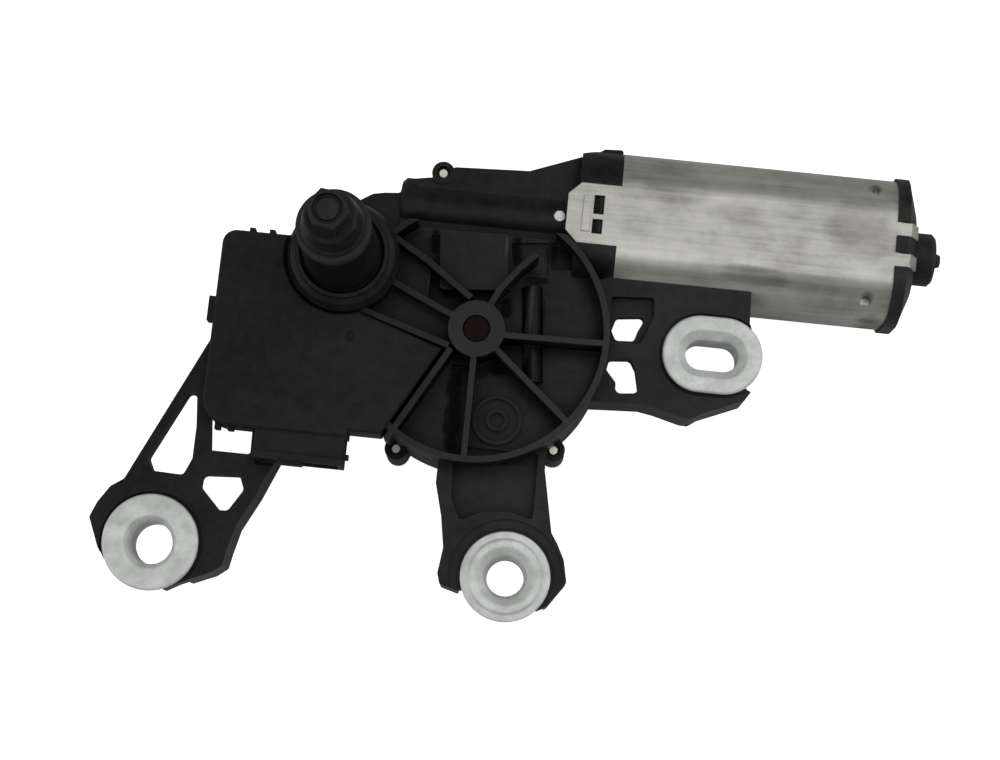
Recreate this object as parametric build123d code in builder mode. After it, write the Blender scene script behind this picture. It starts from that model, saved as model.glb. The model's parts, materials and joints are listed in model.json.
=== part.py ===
from build123d import *
import math
import os

os.makedirs("parts", exist_ok=True)

# Rear-window wiper motor with its reduction gear, spindle, wash-wipe electronics and three rubber-mounted feet.
# Frame: origin on the spindle axis in the plane of the mounting bushes' faces, +Z out along the spindle,
# +X along the armature shaft towards the motor, +Y away from the lower feet. Millimetres.

# Levels along Z
cover_face_z = 9.0          # front of the electronics cover and of the hub
rib_edge_z = 6.5            # ribs and rim at the edge of the gear chamber
chamber_front_z = -3.5      # front wall of the gear chamber, between the ribs
step_front_z = -9.0         # lower front wall beside the worm tunnel
arm_front_z = -2.4          # front of the three arms
arm_depth = 16.0
back_rim_z = -29.5          # open rear edge of the casting
wall = 2.5                  # casting wall
tray_floor_z = 0.0
tray_rim_z = 2.0

# Motor and worm
shaft_y = 21.8              # armature axis, from the spindle
shaft_z = -16.0
shaft_radius = 3.0
can_height = 43.2           # along Y
can_depth = 34.0            # along Z, over the two flats
can_corner = 12.5
can_wall = 1.75
can_start_x = 78.3
can_end_x = 161.0
tongue_length = 15.4
tongue_corner = 3.6
window_length = 3.0
seat_gap = 0.1              # clearance of parts that plug together

# Worm pair
worm_module = 1.2
wheel_teeth = 57
worm_pitch_radius = 4.8
worm_start_x = 27.0
worm_end_x = 54.0
worm_clearance = 0.35       # total slack between thread and tooth gap
wheel_x = 40.4
wheel_width = 8.0
wheel_pitch_radius = worm_module * wheel_teeth / 2
wheel_y = shaft_y - worm_pitch_radius - wheel_pitch_radius
wheel_low_z = shaft_z - wheel_width / 2
wheel_high_z = shaft_z + wheel_width / 2
chamber_radius = wheel_pitch_radius + worm_module + 0.4
chamber_outer = chamber_radius + wall - 0.3
step_y = 13.5               # the tall front wall ends here, beside the worm tunnel

# Crank, toothed link and guide plate
crank_radius = 11.0
link_length = 38.0          # crank pin to link pin
guide_radius = 27.0         # spindle to link pin
pinion_teeth = 20
sector_teeth = 25
drive_module = 2 * guide_radius / (pinion_teeth + sector_teeth)
link_thickness = 4.0
plate_thickness = 1.7
run_gap = 0.3               # face to face, between moving plates
link_high_z = wheel_low_z - 2.3
link_low_z = link_high_z - link_thickness
plate_high_z = link_low_z - run_gap
plate_low_z = plate_high_z - plate_thickness

# Spindle
spindle_radius = 5.0
spindle_end_radius = 4.0
running_gap = 0.05
collar_radius = 16.2
collar_top_z = 14.0
neck_root_radius = 10.9
neck_top_radius = 10.3
neck_top_z = 44.0
seal_top_z = 48.0
taper_z = 50.0
thread_z = 55.0
spindle_tip_z = 63.5
cap_top_z = 67.0
cap_hex_z = 58.0
cap_across = 10.3
cap_turn = -7.0             # of the hexagon, degrees

# Mounting bushes: centre, front face at Z = 0
left_foot = (-46.5, -87.0)
lower_foot = (55.8, -86.4)
right_foot = (109.2, -16.2)
bush_length = 14.0
flange_thickness = 1.6
lip_thickness = 1.7
left_flange_radius = 13.9
left_bore_radius = 6.1
lower_flange_radius = 13.0
lower_bore_radius = 5.4
slot_flange = (29.2, 22.6)
slot_hole = (15.4, 11.4)
tube_wall = 2.1
slot_groove = (slot_flange[0] - 5.4, slot_flange[1] - 5.4)

# Screw eyes of the rear cover
eye_radius = 3.4
eyes_seen = [(25.2, 31.8), (19.6, -50.8), (66.2, -46.5)]
eyes_front_z = [-8.0, -18.0, -18.0]
eyes_hidden = [(-23.5, 3.5), (-24.0, -41.2)]
screw_radius = 1.9
gasket_thickness = 0.6
back_cover_thickness = 2.0

# Electronics and connector
pin_pitch = 5.0
pin_width = 2.8
pin_thickness = 0.8
pin_count = 4
board_thickness = 1.6
plug_x = -6.5               # middle of the connector
plug_width = 25.6
plug_wall = 1.5
plug_mouth_y = -60.5
plug_low_z = -3.6

shaft_origin = (0, shaft_y, shaft_z)
foot_back_z = -bush_length


def dead_centre(span):
    """Direction of the guide plate when crank and link lie in one line of the given length."""
    distance = math.hypot(wheel_x, wheel_y)
    base = math.atan2(wheel_y, wheel_x)
    opening = math.acos((distance**2 + guide_radius**2 - span**2) / (2 * distance * guide_radius))
    return base - opening


def link_pin_at(direction):
    return (guide_radius * math.cos(direction), guide_radius * math.sin(direction))


guide_rest = dead_centre(link_length + crank_radius)
guide_far = dead_centre(link_length - crank_radius)
link_pin_xy = link_pin_at(guide_rest)
link_pin_far = link_pin_at(guide_far)
link_heading = math.atan2(link_pin_xy[1] - wheel_y, link_pin_xy[0] - wheel_x)
link_heading_far = math.atan2(link_pin_far[1] - wheel_y, link_pin_far[0] - wheel_x)
crank_pin_xy = (
    wheel_x + crank_radius * math.cos(link_heading),
    wheel_y + crank_radius * math.sin(link_heading),
)
guide_swing = math.degrees(guide_far - guide_rest)
link_turn = math.degrees((link_heading_far - link_heading) % (2 * math.pi))
link_swing = link_turn - guide_swing
spindle_swing = guide_swing - sector_teeth / pinion_teeth * link_swing


def involute_outline(teeth, module, backlash, turn, steps=3):
    """Corner points of a spur gear: involute flanks from the base circle to the tip, as many steps per flank."""
    pressure = math.radians(20)
    pitch = teeth * module / 2
    base = pitch * math.cos(pressure)
    tip = pitch + module
    root = pitch - 1.25 * module
    half_tooth = math.pi / (2 * teeth) - backlash / (2 * pitch) + math.tan(pressure) - pressure
    start = max(base, root + 0.05)
    points = []
    for tooth in range(teeth):
        middle = turn + 2 * math.pi * tooth / teeth
        flank = []
        for step in range(steps + 1):
            radius = start + (tip - start) * step / steps
            angle = math.acos(min(1.0, base / radius))
            flank.append((radius, half_tooth - (math.tan(angle) - angle)))
        sides = [(root, flank[0][1])] + flank
        ordered = [(r, middle - a) for r, a in sides] + [(r, middle + a) for r, a in reversed(sides)]
        points += [(r * math.cos(a), r * math.sin(a)) for r, a in ordered]
    return points


def upright(x, y):
    """Plane through a vertical axis: its first direction is +X, its second +Z."""
    return Plane(origin=(x, y, 0), x_dir=(1, 0, 0), z_dir=(0, -1, 0))


def turned(x, y, outline, mode=Mode.ADD):
    """Revolves a profile of (radius, z) points about the vertical axis through x, y."""
    with BuildSketch(upright(x, y)) as profile:
        with BuildLine():
            Polyline(*outline, close=True)
        make_face()
    revolve(profile.sketch, axis=Axis((x, y, 0), (0, 0, 1)), mode=mode)


def along_shaft(outline, mode=Mode.ADD):
    """Revolves a profile of (x, radius) points about the armature axis."""
    with BuildSketch(Plane(origin=shaft_origin, x_dir=(1, 0, 0), z_dir=(0, -1, 0))) as profile:
        with BuildLine():
            Polyline(*outline, close=True)
        make_face()
    revolve(profile.sketch, axis=Axis(shaft_origin, (1, 0, 0)), mode=mode)


def can_shape(start, end, grow=0.0, mode=Mode.ADD):
    """Length of the can's section, grown or shrunk all round, between two stations along the shaft."""
    with BuildSketch(Plane.YZ.offset(start)) as section:
        with Locations((shaft_y, shaft_z)):
            RectangleRounded(can_height + 2 * grow, can_depth + 2 * grow, can_corner + grow)
    extrude(section.sketch, amount=end - start, mode=mode)


def disc(x, y, low, high, radius, mode=Mode.ADD):
    with BuildSketch(Plane.XY.offset(low)) as base:
        with Locations((x, y)):
            Circle(radius)
    extrude(base.sketch, amount=high - low, mode=mode)


def block(low, high, mode=Mode.ADD):
    """Box between two opposite corners."""
    size = [high[i] - low[i] for i in range(3)]
    with Locations(((low[0] + high[0]) / 2, (low[1] + high[1]) / 2, (low[2] + high[2]) / 2)):
        Box(*size, mode=mode)


def plate(outline, low, high, corner=0.0, mode=Mode.ADD, taper=0.0):
    """Straight-sided outline with its corners rounded, pulled up from one level to another."""
    with BuildSketch(Plane.XY.offset(low)) as sketch:
        with BuildLine():
            Polyline(*outline, close=True)
        make_face()
        if corner:
            fillet(sketch.vertices(), corner)
    extrude(sketch.sketch, amount=high - low, mode=mode, taper=taper)


def finish(part, name):
    part.part.label = name
    export_step(part.part, f"parts/{name}.step")


# Outlines in plan, each a designer's list of corners
cover_corner = 1.2
cover_left_x = -35.2
cover_top_y = 4.6
cover_bottom_y = -52.2
cover_step_y = -50.4
cover_step_x = 16.2
cover_hub_corner = (31.0, -24.0)
cover_outline = [
    (cover_left_x, cover_top_y),
    (cover_left_x, cover_bottom_y),
    (plug_x + plug_width / 2 + 0.6, cover_bottom_y),
    (plug_x + plug_width / 2 + 0.6, cover_step_y),
    (cover_step_x, cover_step_y),
    cover_hub_corner,
    (4.0, -15.0),
    (-14.0, cover_top_y),
]

left_arm_outline = [
    (-33.0, -18.0),
    (-56.6, -69.4),
    (-60.3, -72.0),
    (-63.5, -77.0),
    (-65.2, -81.4),
    (-61.7, -89.8),
    (-59.4, -93.2),
    (-41.7, -100.2),
    (-37.6, -97.8),
    (-28.4, -93.8),
    (-25.4, -91.4),
    (-24.6, -87.0),
    (-22.9, -79.8),
    (-18.1, -70.1),
    (-13.8, -59.5),
    (-10.4, -52.0),
    (-8.0, -30.0),
]
left_window = [
    (-41.0, -42.2),
    (-38.6, -43.2),
    (-37.7, -52.0),
    (-37.7, -61.6),
    (-39.8, -66.6),
    (-48.8, -66.3),
    (-50.6, -62.6),
]
left_small_window = [
    (-34.3, -65.9),
    (-23.4, -65.2),
    (-21.8, -69.2),
    (-25.7, -75.6),
    (-28.3, -75.7),
    (-34.5, -69.4),
]
left_square_window = [(-34.4, -46.0), (-21.6, -46.0), (-21.2, -58.7), (-33.0, -58.7)]
left_thin_skin = [
    (-70.0, -40.0),
    (-37.0, -40.0),
    (-37.0, -47.0),
    (-20.6, -47.0),
    (-20.6, -62.0),
    (-20.2, -70.0),
    (-25.2, -77.4),
    (-32.4, -77.4),
    (-35.6, -74.0),
    (-40.7, -71.0),
    (-46.5, -70.0),
    (-50.9, -70.6),
    (-56.0, -72.9),
    (-70.0, -73.0),
]
lower_arm_outline = [
    (33.2, -40.0),
    (33.1, -61.4),
    (35.6, -70.6),
    (37.2, -79.8),
    (36.3, -87.2),
    (37.2, -90.3),
    (42.6, -91.8),
    (48.0, -97.5),
    (62.0, -97.0),
    (66.4, -94.6),
    (68.6, -93.4),
    (73.5, -86.2),
    (72.1, -79.8),
    (69.7, -75.2),
    (67.8, -72.4),
    (64.1, -54.5),
    (64.1, -40.0),
]
lower_panel = [
    (36.8, -50.0),
    (38.0, -65.6),
    (41.0, -71.6),
    (47.6, -68.4),
    (55.0, -67.6),
    (62.0, -69.4),
    (61.8, -50.0),
]
right_arm_outline = [
    (70.0, 1.0),
    (79.0, 4.8),
    (119.0, 5.2),
    (119.4, -5.6),
    (124.0, -13.0),
    (124.0, -22.0),
    (119.6, -28.4),
    (107.4, -33.6),
    (105.0, -35.4),
    (102.4, -35.3),
    (94.1, -33.2),
    (89.7, -32.5),
    (66.0, -33.8),
    (60.0, -17.0),
]
right_upper_window = [(80.6, -7.3), (89.3, -6.3), (87.1, -10.8), (86.2, -13.9), (80.9, -14.2), (79.4, -11.4)]
right_lower_window = [
    (79.2, -20.1),
    (85.6, -19.5),
    (87.4, -22.4),
    (89.0, -29.4),
    (82.0, -30.1),
    (82.1, -27.0),
    (78.9, -23.4),
]
right_recess = [(78.3, -1.6), (91.0, -0.8), (91.3, -6.4), (88.2, -14.8), (78.6, -15.0)]
right_thin_skin = [(79.6, -2.0), (91.4, -1.6), (91.4, -6.2), (89.6, -16.0), (90.2, -31.2), (79.6, -31.6)]
bracket_outline = [
    (14.0, 10.0),
    (14.0, 24.5),
    (21.4, 29.8),
    (28.7, 34.0),
    (50.8, 35.1),
    (71.0, 43.0),
    (72.6, shaft_y + can_height / 2 + 0.6),
    (can_start_x - 0.2, shaft_y + can_height / 2 + 0.9),
    (can_start_x - 0.2, 10.0),
]
tunnel_side_outline = [
    (0.4, 8.0),
    (0.4, 20.6),
    (5.0, 23.5),
    (8.4, 24.2),
    (13.0, 24.6),
    (13.4, 26.8),
    (15.4, 29.1),
    (21.3, 30.2),
    (70.0, 30.6),
    (70.0, 8.0),
]
spindle_side_outline = [
    (-28.5, 6.0),
    (-28.5, -46.0),
    (24.0, -46.0),
    (24.0, 18.6),
    (8.0, 18.6),
    (0.0, 17.2),
    (-12.0, 14.0),
]

rib_lines = [
    ((wheel_x, wheel_y - 1.2), (wheel_x + chamber_outer - 1, wheel_y - 0.2)),
    ((wheel_x, wheel_y), (wheel_x + 28.6, wheel_y - 24.0)),
    ((wheel_x, wheel_y), (wheel_x + 0.2, wheel_y - chamber_outer + 1)),
    ((33.6, -23.6), (17.9, -51.4)),
    ((33.0, -22.8), (4.4, -13.8)),
    ((wheel_x, wheel_y), (14.4, -5.4)),
    ((37.9, -8.2), (24.6, 1.3)),
    ((25.4, 0.9), (14.0, 7.6)),
    ((wheel_x, wheel_y), (45.9, -4.8)),
    ((45.5, -5.4), (51.2, 2.3)),
    ((50.8, 1.8), (55.5, 6.6)),
]
rib_width = 1.7
hub_radius = 8.2
pocket_fills = [
    [(10.0, -5.0), (34.0, -14.2), (34.0, -22.6), (8.0, -14.6)],
    [(12.0, 7.4), (25.3, 0.4), (25.3, -10.2), (12.0, -4.6)],
]
front_recesses = [
    ([(23.9, 11.6), (26.6, 11.8), (27.2, 6.1), (24.4, 5.8)], 0.4),
    ([(47.6, 11.5), (58.6, 12.7), (59.5, 3.1), (49.3, 2.0)], 0.8),
    ([(59.4, 11.5), (69.9, 12.6), (70.5, 5.7), (60.1, 4.6)], 0.8),
]
recess_depths = [1.7, 1.2, 1.8]
raised_pad = [(28.4, -5.6), (26.7, 12.0), (46.6, 12.6), (48.2, -3.8)]
pad_ledge = [(47.4, -3.4), (45.8, 12.4), (47.6, 12.5), (49.1, -3.4)]
channel = [(34.0, -26.2), (39.3, -26.2), (39.3, -52.4), (35.0, -52.4)]
channel_walls = [(32.4, -25.2), (41.0, -25.2), (41.0, -53.4), (33.4, -53.4)]
link_chamber = [(-26.0, 3.0), (-26.0, -43.5), (22.0, -43.5), (22.0, 14.6), (-4.0, 14.6), (-14.0, 9.0)]
eye_roots = [(25.2, 24.0), (wheel_x, wheel_y), (wheel_x, wheel_y)]
web_top_z = -20.0


def eye_webs():
    """Joins each outer screw eye to the wall beside it."""
    for (x, y), (root_x, root_y) in zip(eyes_seen, eye_roots):
        angle = math.atan2(root_y - y, root_x - x)
        with Locations((x + 4 * math.cos(angle), y + 4 * math.sin(angle))):
            Rectangle(8, 2 * eye_radius, rotation=math.degrees(angle))


def rib(start, end):
    length = math.dist(start, end)
    angle = math.degrees(math.atan2(end[1] - start[1], end[0] - start[0]))
    with Locations(((start[0] + end[0]) / 2, (start[1] + end[1]) / 2)):
        Rectangle(length, rib_width, rotation=angle)


foot_recess_z = arm_front_z - 0.9       # front of the thin fork under each bush
fork_low_z = foot_back_z + flange_thickness + lip_thickness + 0.1
fork_clear = 1.0


def fork_opening(centre, reach, low_angle, high_angle, hole, round_foot=True):
    """Thins the arm round a bush, bores it, and opens it between two directions so the rubber can be pushed in."""
    low_z = arm_front_z - arm_depth
    for bottom, top in ((low_z, fork_low_z), (foot_recess_z, arm_front_z)):
        with BuildSketch(Plane.XY.offset(bottom)) as recess:
            with Locations(centre):
                if round_foot:
                    Circle(reach + fork_clear)
                else:
                    SlotOverall(slot_flange[0] + 2 * fork_clear, slot_flange[1] + 2 * fork_clear)
        extrude(recess.sketch, amount=top - bottom, mode=Mode.SUBTRACT)
    with BuildSketch(Plane.XY.offset(low_z)) as bore:
        with Locations(centre):
            if round_foot:
                Circle(hole)
            else:
                SlotOverall(*slot_groove)
        far = 3 * reach
        corners = [
            (centre[0] + far * math.cos(math.radians(a)), centre[1] + far * math.sin(math.radians(a)))
            for a in (low_angle, (low_angle + high_angle) / 2, high_angle)
        ]
        with BuildLine():
            Polyline(centre, *corners, close=True)
        make_face()
    extrude(bore.sketch, amount=arm_depth, mode=Mode.SUBTRACT)


grommet_hole = 10.3


def arm(outline, corner, hollow=None):
    """One arm, stopping at the wall of the gear chamber, with a thin front skin over its hollow."""
    skin_low_z = arm_front_z - thin_skin
    for low, high, opened in ((arm_low_z, skin_low_z, hollow), (skin_low_z, arm_front_z, None)):
        with BuildSketch(Plane.XY.offset(low)) as plan:
            with BuildLine():
                Polyline(*outline, close=True)
            make_face()
            fillet(plan.vertices(), corner)
            with Locations((wheel_x, wheel_y)):
                Circle(chamber_outer - 1, mode=Mode.SUBTRACT)
            if opened:
                with BuildLine():
                    Polyline(*opened, close=True)
                make_face(mode=Mode.SUBTRACT)
        extrude(plan.sketch, amount=high - low)


def cover_plan(level, inset=0.0, collar_gap=0.6):
    """Sketch of the electronics cover's outline, cut back round the spindle tower."""
    with BuildSketch(Plane.XY.offset(level)) as plan:
        with BuildLine():
            Polyline(*cover_outline, close=True)
        make_face()
        left = plan.vertices().group_by(Axis.X)[0].sort_by(Axis.Y)
        fillet(left[0], 7.5)
        left = plan.vertices().sort_by_distance((cover_left_x, cover_top_y))
        fillet(left[0], 4.0)
        if inset:
            offset(amount=-inset, kind=Kind.INTERSECTION)
        Circle(collar_radius + collar_gap, mode=Mode.SUBTRACT)
    return plan.sketch


# Main casting: gear chamber, spindle tower, worm tunnel, electronics tray and three arms in one moulding
rim_width = 1.8
eye_hole = screw_radius + 0.1
hidden_eye_top_z = -19.0
tunnel_bore = worm_pitch_radius + worm_module + 0.6
tunnel_radius = tunnel_bore + wall
bush_outer = 7.0
upper_bush_z = (34.0, neck_top_z)
lower_bush_z = (-18.0, -8.0)
well_low_z = -17.0
link_chamber_z = link_high_z + 1.6
motor_block_x = 66.0
axle_radius = 4.0
axle_top_z = 8.6
wheel_hub_radius = 7.5
window_x = can_start_x - tongue_length + 7.7
window_spans = [(-5.9, -1.6), (0.0, 5.6)]     # along Y, from the armature axis
bulge_start = (55.2, -1.3)
bulge_length = 28.2
bulge_radius = 3.0
front_tilt = (0.0995, -0.995)                 # direction of the bulge in plan
pad_top_z = 2.5
ring_centre = (48.8, -41.5)
board_low_z = 0.75
board_posts = [(-30.0, 0.0), (9.0, -44.0), (9.0, -24.0), (-29.0, -47.0)]
dowel_x = 61.0
dowel_radius = 1.85
tunnel_start_x = 13.2
pad_x = 15.3                # front thrust pad, against the end of the tunnel's bore
pad_thickness = 1.3
shaft_tip_x = pad_x + pad_thickness + 1.6
arm_low_z = arm_front_z - arm_depth
thin_skin = 5.6

with BuildPart() as gear_housing:
    # Rear chamber of the link, electronics well and tray
    plate(spindle_side_outline, back_rim_z, link_chamber_z + wall, corner=3.0)
    plate(
        [(cover_left_x, cover_top_y), (cover_left_x, -46.0), (20.0, -46.0), (20.0, cover_top_y)],
        link_chamber_z - wall,
        tray_rim_z,
        corner=3.0,
    )
    extrude(cover_plan(tray_floor_z - wall, collar_gap=-2.0), amount=tray_rim_z - tray_floor_z + wall)

    # Gear chamber: a full ring, with its tall front wall only below the worm tunnel
    disc(wheel_x, wheel_y, back_rim_z, step_front_z, chamber_outer)
    with BuildSketch(Plane.XY.offset(step_front_z)):
        with Locations((wheel_x, wheel_y)):
            Circle(chamber_outer)
        with Locations((wheel_x, step_y + chamber_outer)):
            Rectangle(3 * chamber_outer, 2 * chamber_outer, mode=Mode.SUBTRACT)
    extrude(amount=chamber_front_z - step_front_z)
    with BuildSketch(Plane.XY.offset(chamber_front_z)):
        with Locations((wheel_x, wheel_y)):
            Circle(chamber_outer + 0.4)
            Circle(chamber_outer + 0.4 - rim_width, mode=Mode.SUBTRACT)
        with BuildLine():
            Polyline(*cover_outline, close=True)
        make_face(mode=Mode.SUBTRACT)
        for start, end in rib_lines:
            rib(start, end)
        with Locations((wheel_x, wheel_y)):
            Circle(hub_radius)
        with Locations((wheel_x, step_y + chamber_outer)):
            Rectangle(3 * chamber_outer, 2 * chamber_outer, mode=Mode.SUBTRACT)
        with Locations((0, 0)):
            Circle(collar_radius, mode=Mode.SUBTRACT)
        with Locations((-collar_radius, 0)):
            Rectangle(2 * collar_radius, 4 * collar_radius, mode=Mode.SUBTRACT)
    extrude(amount=cover_face_z - chamber_front_z)
    with BuildSketch(upright(wheel_x, wheel_y)):
        with BuildLine():
            Polyline(
                (hub_radius + 0.4, cover_face_z + 1),
                (hub_radius + 0.4, cover_face_z - 0.6),
                (chamber_outer + 4, rib_edge_z),
                (chamber_outer + 4, cover_face_z + 1),
                close=True,
            )
        make_face()
    revolve(axis=Axis((wheel_x, wheel_y, 0), (0, 0, 1)), mode=Mode.SUBTRACT)

    # Spindle tower
    turned(
        0,
        0,
        [
            (0, link_chamber_z - 0.5),
            (collar_radius, link_chamber_z - 0.5),
            (collar_radius, cover_face_z + 0.6),
            (collar_radius - 1.2, cover_face_z + 3.2),
            (13.6, collar_top_z - 1.0),
            (13.2, collar_top_z),
            (12.3, collar_top_z + 0.3),
            (11.8, collar_top_z - 0.5),
            (neck_root_radius, collar_top_z - 0.8),
            (neck_top_radius, neck_top_z),
            (0, neck_top_z),
        ],
    )

    # Worm tunnel, cover flange and motor block
    can_shape(motor_block_x, can_start_x - 0.2)
    plate(
        [(motor_block_x - 1, 40.6), (71.0, 43.0), (71.0, 46.0), (motor_block_x - 1, 46.0)],
        shaft_z - can_depth / 2 - 1,
        shaft_z + can_depth / 2 + 1,
        mode=Mode.SUBTRACT,
    )
    plate(bracket_outline, back_rim_z + 7.5, step_front_z + 0.5, corner=0.8)
    plate(tunnel_side_outline, back_rim_z, step_front_z, corner=0.8)
    along_shaft(
        [
            (tunnel_start_x, 0),
            (tunnel_start_x, tunnel_radius - 1.2),
            (tunnel_start_x + 1.2, tunnel_radius),
            (68.0, tunnel_radius),
            (68.0, 0),
        ]
    )

    # Arms
    arm(left_arm_outline, 1.2, left_thin_skin)
    arm(lower_arm_outline, 1.0)
    arm(right_arm_outline, 1.0, right_thin_skin)
    can_shape(can_start_x - 0.2, can_end_x, grow=0.3, mode=Mode.SUBTRACT)
    can_shape(can_start_x - 1, can_start_x + 6, grow=-can_wall - seat_gap)
    for window, corner in ((left_window, 1.4), (left_small_window, 1.6), (left_square_window, 0.8)):
        plate(window, arm_low_z, arm_front_z, corner=corner, mode=Mode.SUBTRACT)
    for window, corner in ((right_upper_window, 1.2), (right_lower_window, 1.6)):
        plate(window, arm_low_z, arm_front_z, corner=corner, mode=Mode.SUBTRACT)
    plate(right_recess, arm_front_z - 2.2, arm_front_z, corner=1.0, mode=Mode.SUBTRACT)
    plate(lower_panel, arm_front_z - 2.4, arm_front_z, corner=1.0, mode=Mode.SUBTRACT)
    plate(lower_panel, arm_low_z, arm_front_z - 4.6, corner=1.0, mode=Mode.SUBTRACT)
    disc(*lower_foot, arm_front_z - 0.5, arm_front_z + 0.1, 16.6, mode=Mode.SUBTRACT)
    fork_opening(left_foot, left_flange_radius, 206, 291, grommet_hole)
    fork_opening(lower_foot, lower_flange_radius, 201, 319, grommet_hole - 0.7)
    fork_opening(right_foot, slot_flange[0] / 2, -38, 40, slot_groove[1] / 2, round_foot=False)

    # Screw eyes
    for (x, y), front in zip(eyes_seen, eyes_front_z):
        disc(x, y, back_rim_z, front, eye_radius)
    with BuildSketch(Plane.XY.offset(back_rim_z)):
        eye_webs()
    extrude(amount=web_top_z - back_rim_z)

    # Hollows, from the open rear
    disc(wheel_x, wheel_y, back_rim_z, step_front_z - wall, chamber_radius, mode=Mode.SUBTRACT)
    with BuildSketch(Plane.XY.offset(step_front_z - wall)):
        with Locations((wheel_x, wheel_y)):
            Circle(chamber_radius)
        with Locations((wheel_x, step_y - wall + chamber_outer)):
            Rectangle(3 * chamber_outer, 2 * chamber_outer, mode=Mode.SUBTRACT)
        Circle(collar_radius, mode=Mode.SUBTRACT)
    extrude(amount=chamber_front_z - step_front_z, mode=Mode.SUBTRACT)
    plate(link_chamber, back_rim_z, link_chamber_z, corner=1.5, mode=Mode.SUBTRACT)
    for x, y in eyes_hidden:
        disc(x, y, back_rim_z, link_chamber_z + 1, eye_radius)
    with BuildSketch(Plane.XY.offset(well_low_z)):
        with BuildLine():
            Polyline(
                (cover_left_x + 2, -18.5),
                (cover_left_x + 2, -43.8),
                (-2.0, -43.8),
                (-2.0, -18.5),
                close=True,
            )
        make_face()
    extrude(amount=tray_rim_z - well_low_z, mode=Mode.SUBTRACT)
    extrude(cover_plan(tray_floor_z, inset=2.0, collar_gap=2.0), amount=tray_rim_z, mode=Mode.SUBTRACT)
    block(
        (plug_x - plug_width / 2 - 0.3, plug_mouth_y - 1, plug_low_z - 0.3),
        (plug_x + plug_width / 2 + 0.3, cover_step_y + 1.5, tray_rim_z),
        mode=Mode.SUBTRACT,
    )

    # Bores along the worm shaft
    along_shaft(
        [
            (pad_x, 0),
            (pad_x, tunnel_bore),
            (58.0, tunnel_bore),
            (58.0, 0),
        ],
        mode=Mode.SUBTRACT,
    )
    along_shaft(
        [(57.0, 0), (57.0, shaft_radius + 1), (72.0, shaft_radius + 1), (72.0, 0)],
        mode=Mode.SUBTRACT,
    )
    along_shaft([(70.0, 0), (70.0, 8.0), (78.0, 8.0), (78.0, 0)], mode=Mode.SUBTRACT)
    along_shaft([(77.0, 0), (77.0, 13.0), (86.0, 13.0), (86.0, 0)], mode=Mode.SUBTRACT)

    # Spindle and axle bores
    disc(0, 0, back_rim_z, neck_top_z + 1, spindle_radius + 0.4, mode=Mode.SUBTRACT)
    for low, high in (upper_bush_z, lower_bush_z):
        disc(0, 0, low, high + (0.5 if high == neck_top_z else 0), bush_outer, mode=Mode.SUBTRACT)
    disc(0, 0, link_chamber_z - 1, lower_bush_z[0], bush_outer, mode=Mode.SUBTRACT)
    for (x, y), front in zip(eyes_seen, eyes_front_z):
        disc(x, y, back_rim_z, front + 1, eye_hole, mode=Mode.SUBTRACT)
    for x, y in eyes_hidden:
        disc(x, y, back_rim_z, hidden_eye_top_z, eye_hole, mode=Mode.SUBTRACT)

    # Seat of the can's front tongue and of its mate behind, each with a snap lug
    for side in (1, -1):
        face = shaft_z + side * can_depth / 2
        inner = face - side * (can_wall + seat_gap)
        block(
            (can_start_x - tongue_length - 0.4, shaft_y - 9.2, min(face, inner) - 0.01),
            (can_start_x + 0.1, shaft_y + 9.2, max(face, inner) + 0.01),
            mode=Mode.SUBTRACT,
        )
        lug = [
            (window_x + 0.4, inner - side * 0.3),
            (window_x + window_length - 0.4, inner - side * 0.3),
            (window_x + window_length - 0.4, face - side * 0.4),
            (window_x + window_length - 1.0, face - side * 0.4),
            (window_x + 0.4, face - side * 1.0),
        ]
        for low, high in window_spans:
            with BuildSketch(Plane(origin=(0, shaft_y + high - 0.4, 0), x_dir=(1, 0, 0), z_dir=(0, -1, 0))):
                with BuildLine():
                    Polyline(*lug, close=True)
                make_face()
            extrude(amount=high - low - 0.8)

    # Details of the front: bulge, raised pad, channel, pockets, moulding ring, board posts, dowel hole
    with BuildSketch(
        Plane(origin=(*bulge_start, chamber_front_z), x_dir=(0, 0, 1), z_dir=(*front_tilt, 0)),
    ):
        Circle(bulge_radius)
    extrude(amount=bulge_length)
    plate(raised_pad, chamber_front_z - 0.5, pad_top_z, corner=1.2)
    plate(pad_ledge, chamber_front_z - 0.5, pad_top_z - 2.0, corner=0.4)
    for fill in pocket_fills:
        plate(fill, chamber_front_z - 0.5, tray_rim_z)
    for (recess, corner), depth in zip(front_recesses, recess_depths):
        plate(recess, chamber_front_z - depth, chamber_front_z, corner=corner, mode=Mode.SUBTRACT)
    plate(channel_walls, chamber_front_z - 5.1, chamber_front_z - 2.0)
    plate(channel, chamber_front_z - 2.9, chamber_front_z, corner=0.8, mode=Mode.SUBTRACT)
    with BuildSketch(Plane.XY.offset(chamber_front_z - 0.5)):
        with Locations(ring_centre):
            Circle(7.2)
            Circle(6.2, mode=Mode.SUBTRACT)
            Circle(3.2)
            Circle(2.2, mode=Mode.SUBTRACT)
    extrude(amount=1.5)
    disc(wheel_x, wheel_y, back_rim_z, cover_face_z + 1, axle_radius, mode=Mode.SUBTRACT)
    for x, y in board_posts:
        disc(x, y, tray_floor_z - 0.5, board_low_z, 2.0)
    disc(dowel_x, shaft_y, shaft_z + tunnel_bore + 0.4, 0, dowel_radius, mode=Mode.SUBTRACT)
finish(gear_housing, "gear_housing")

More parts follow.
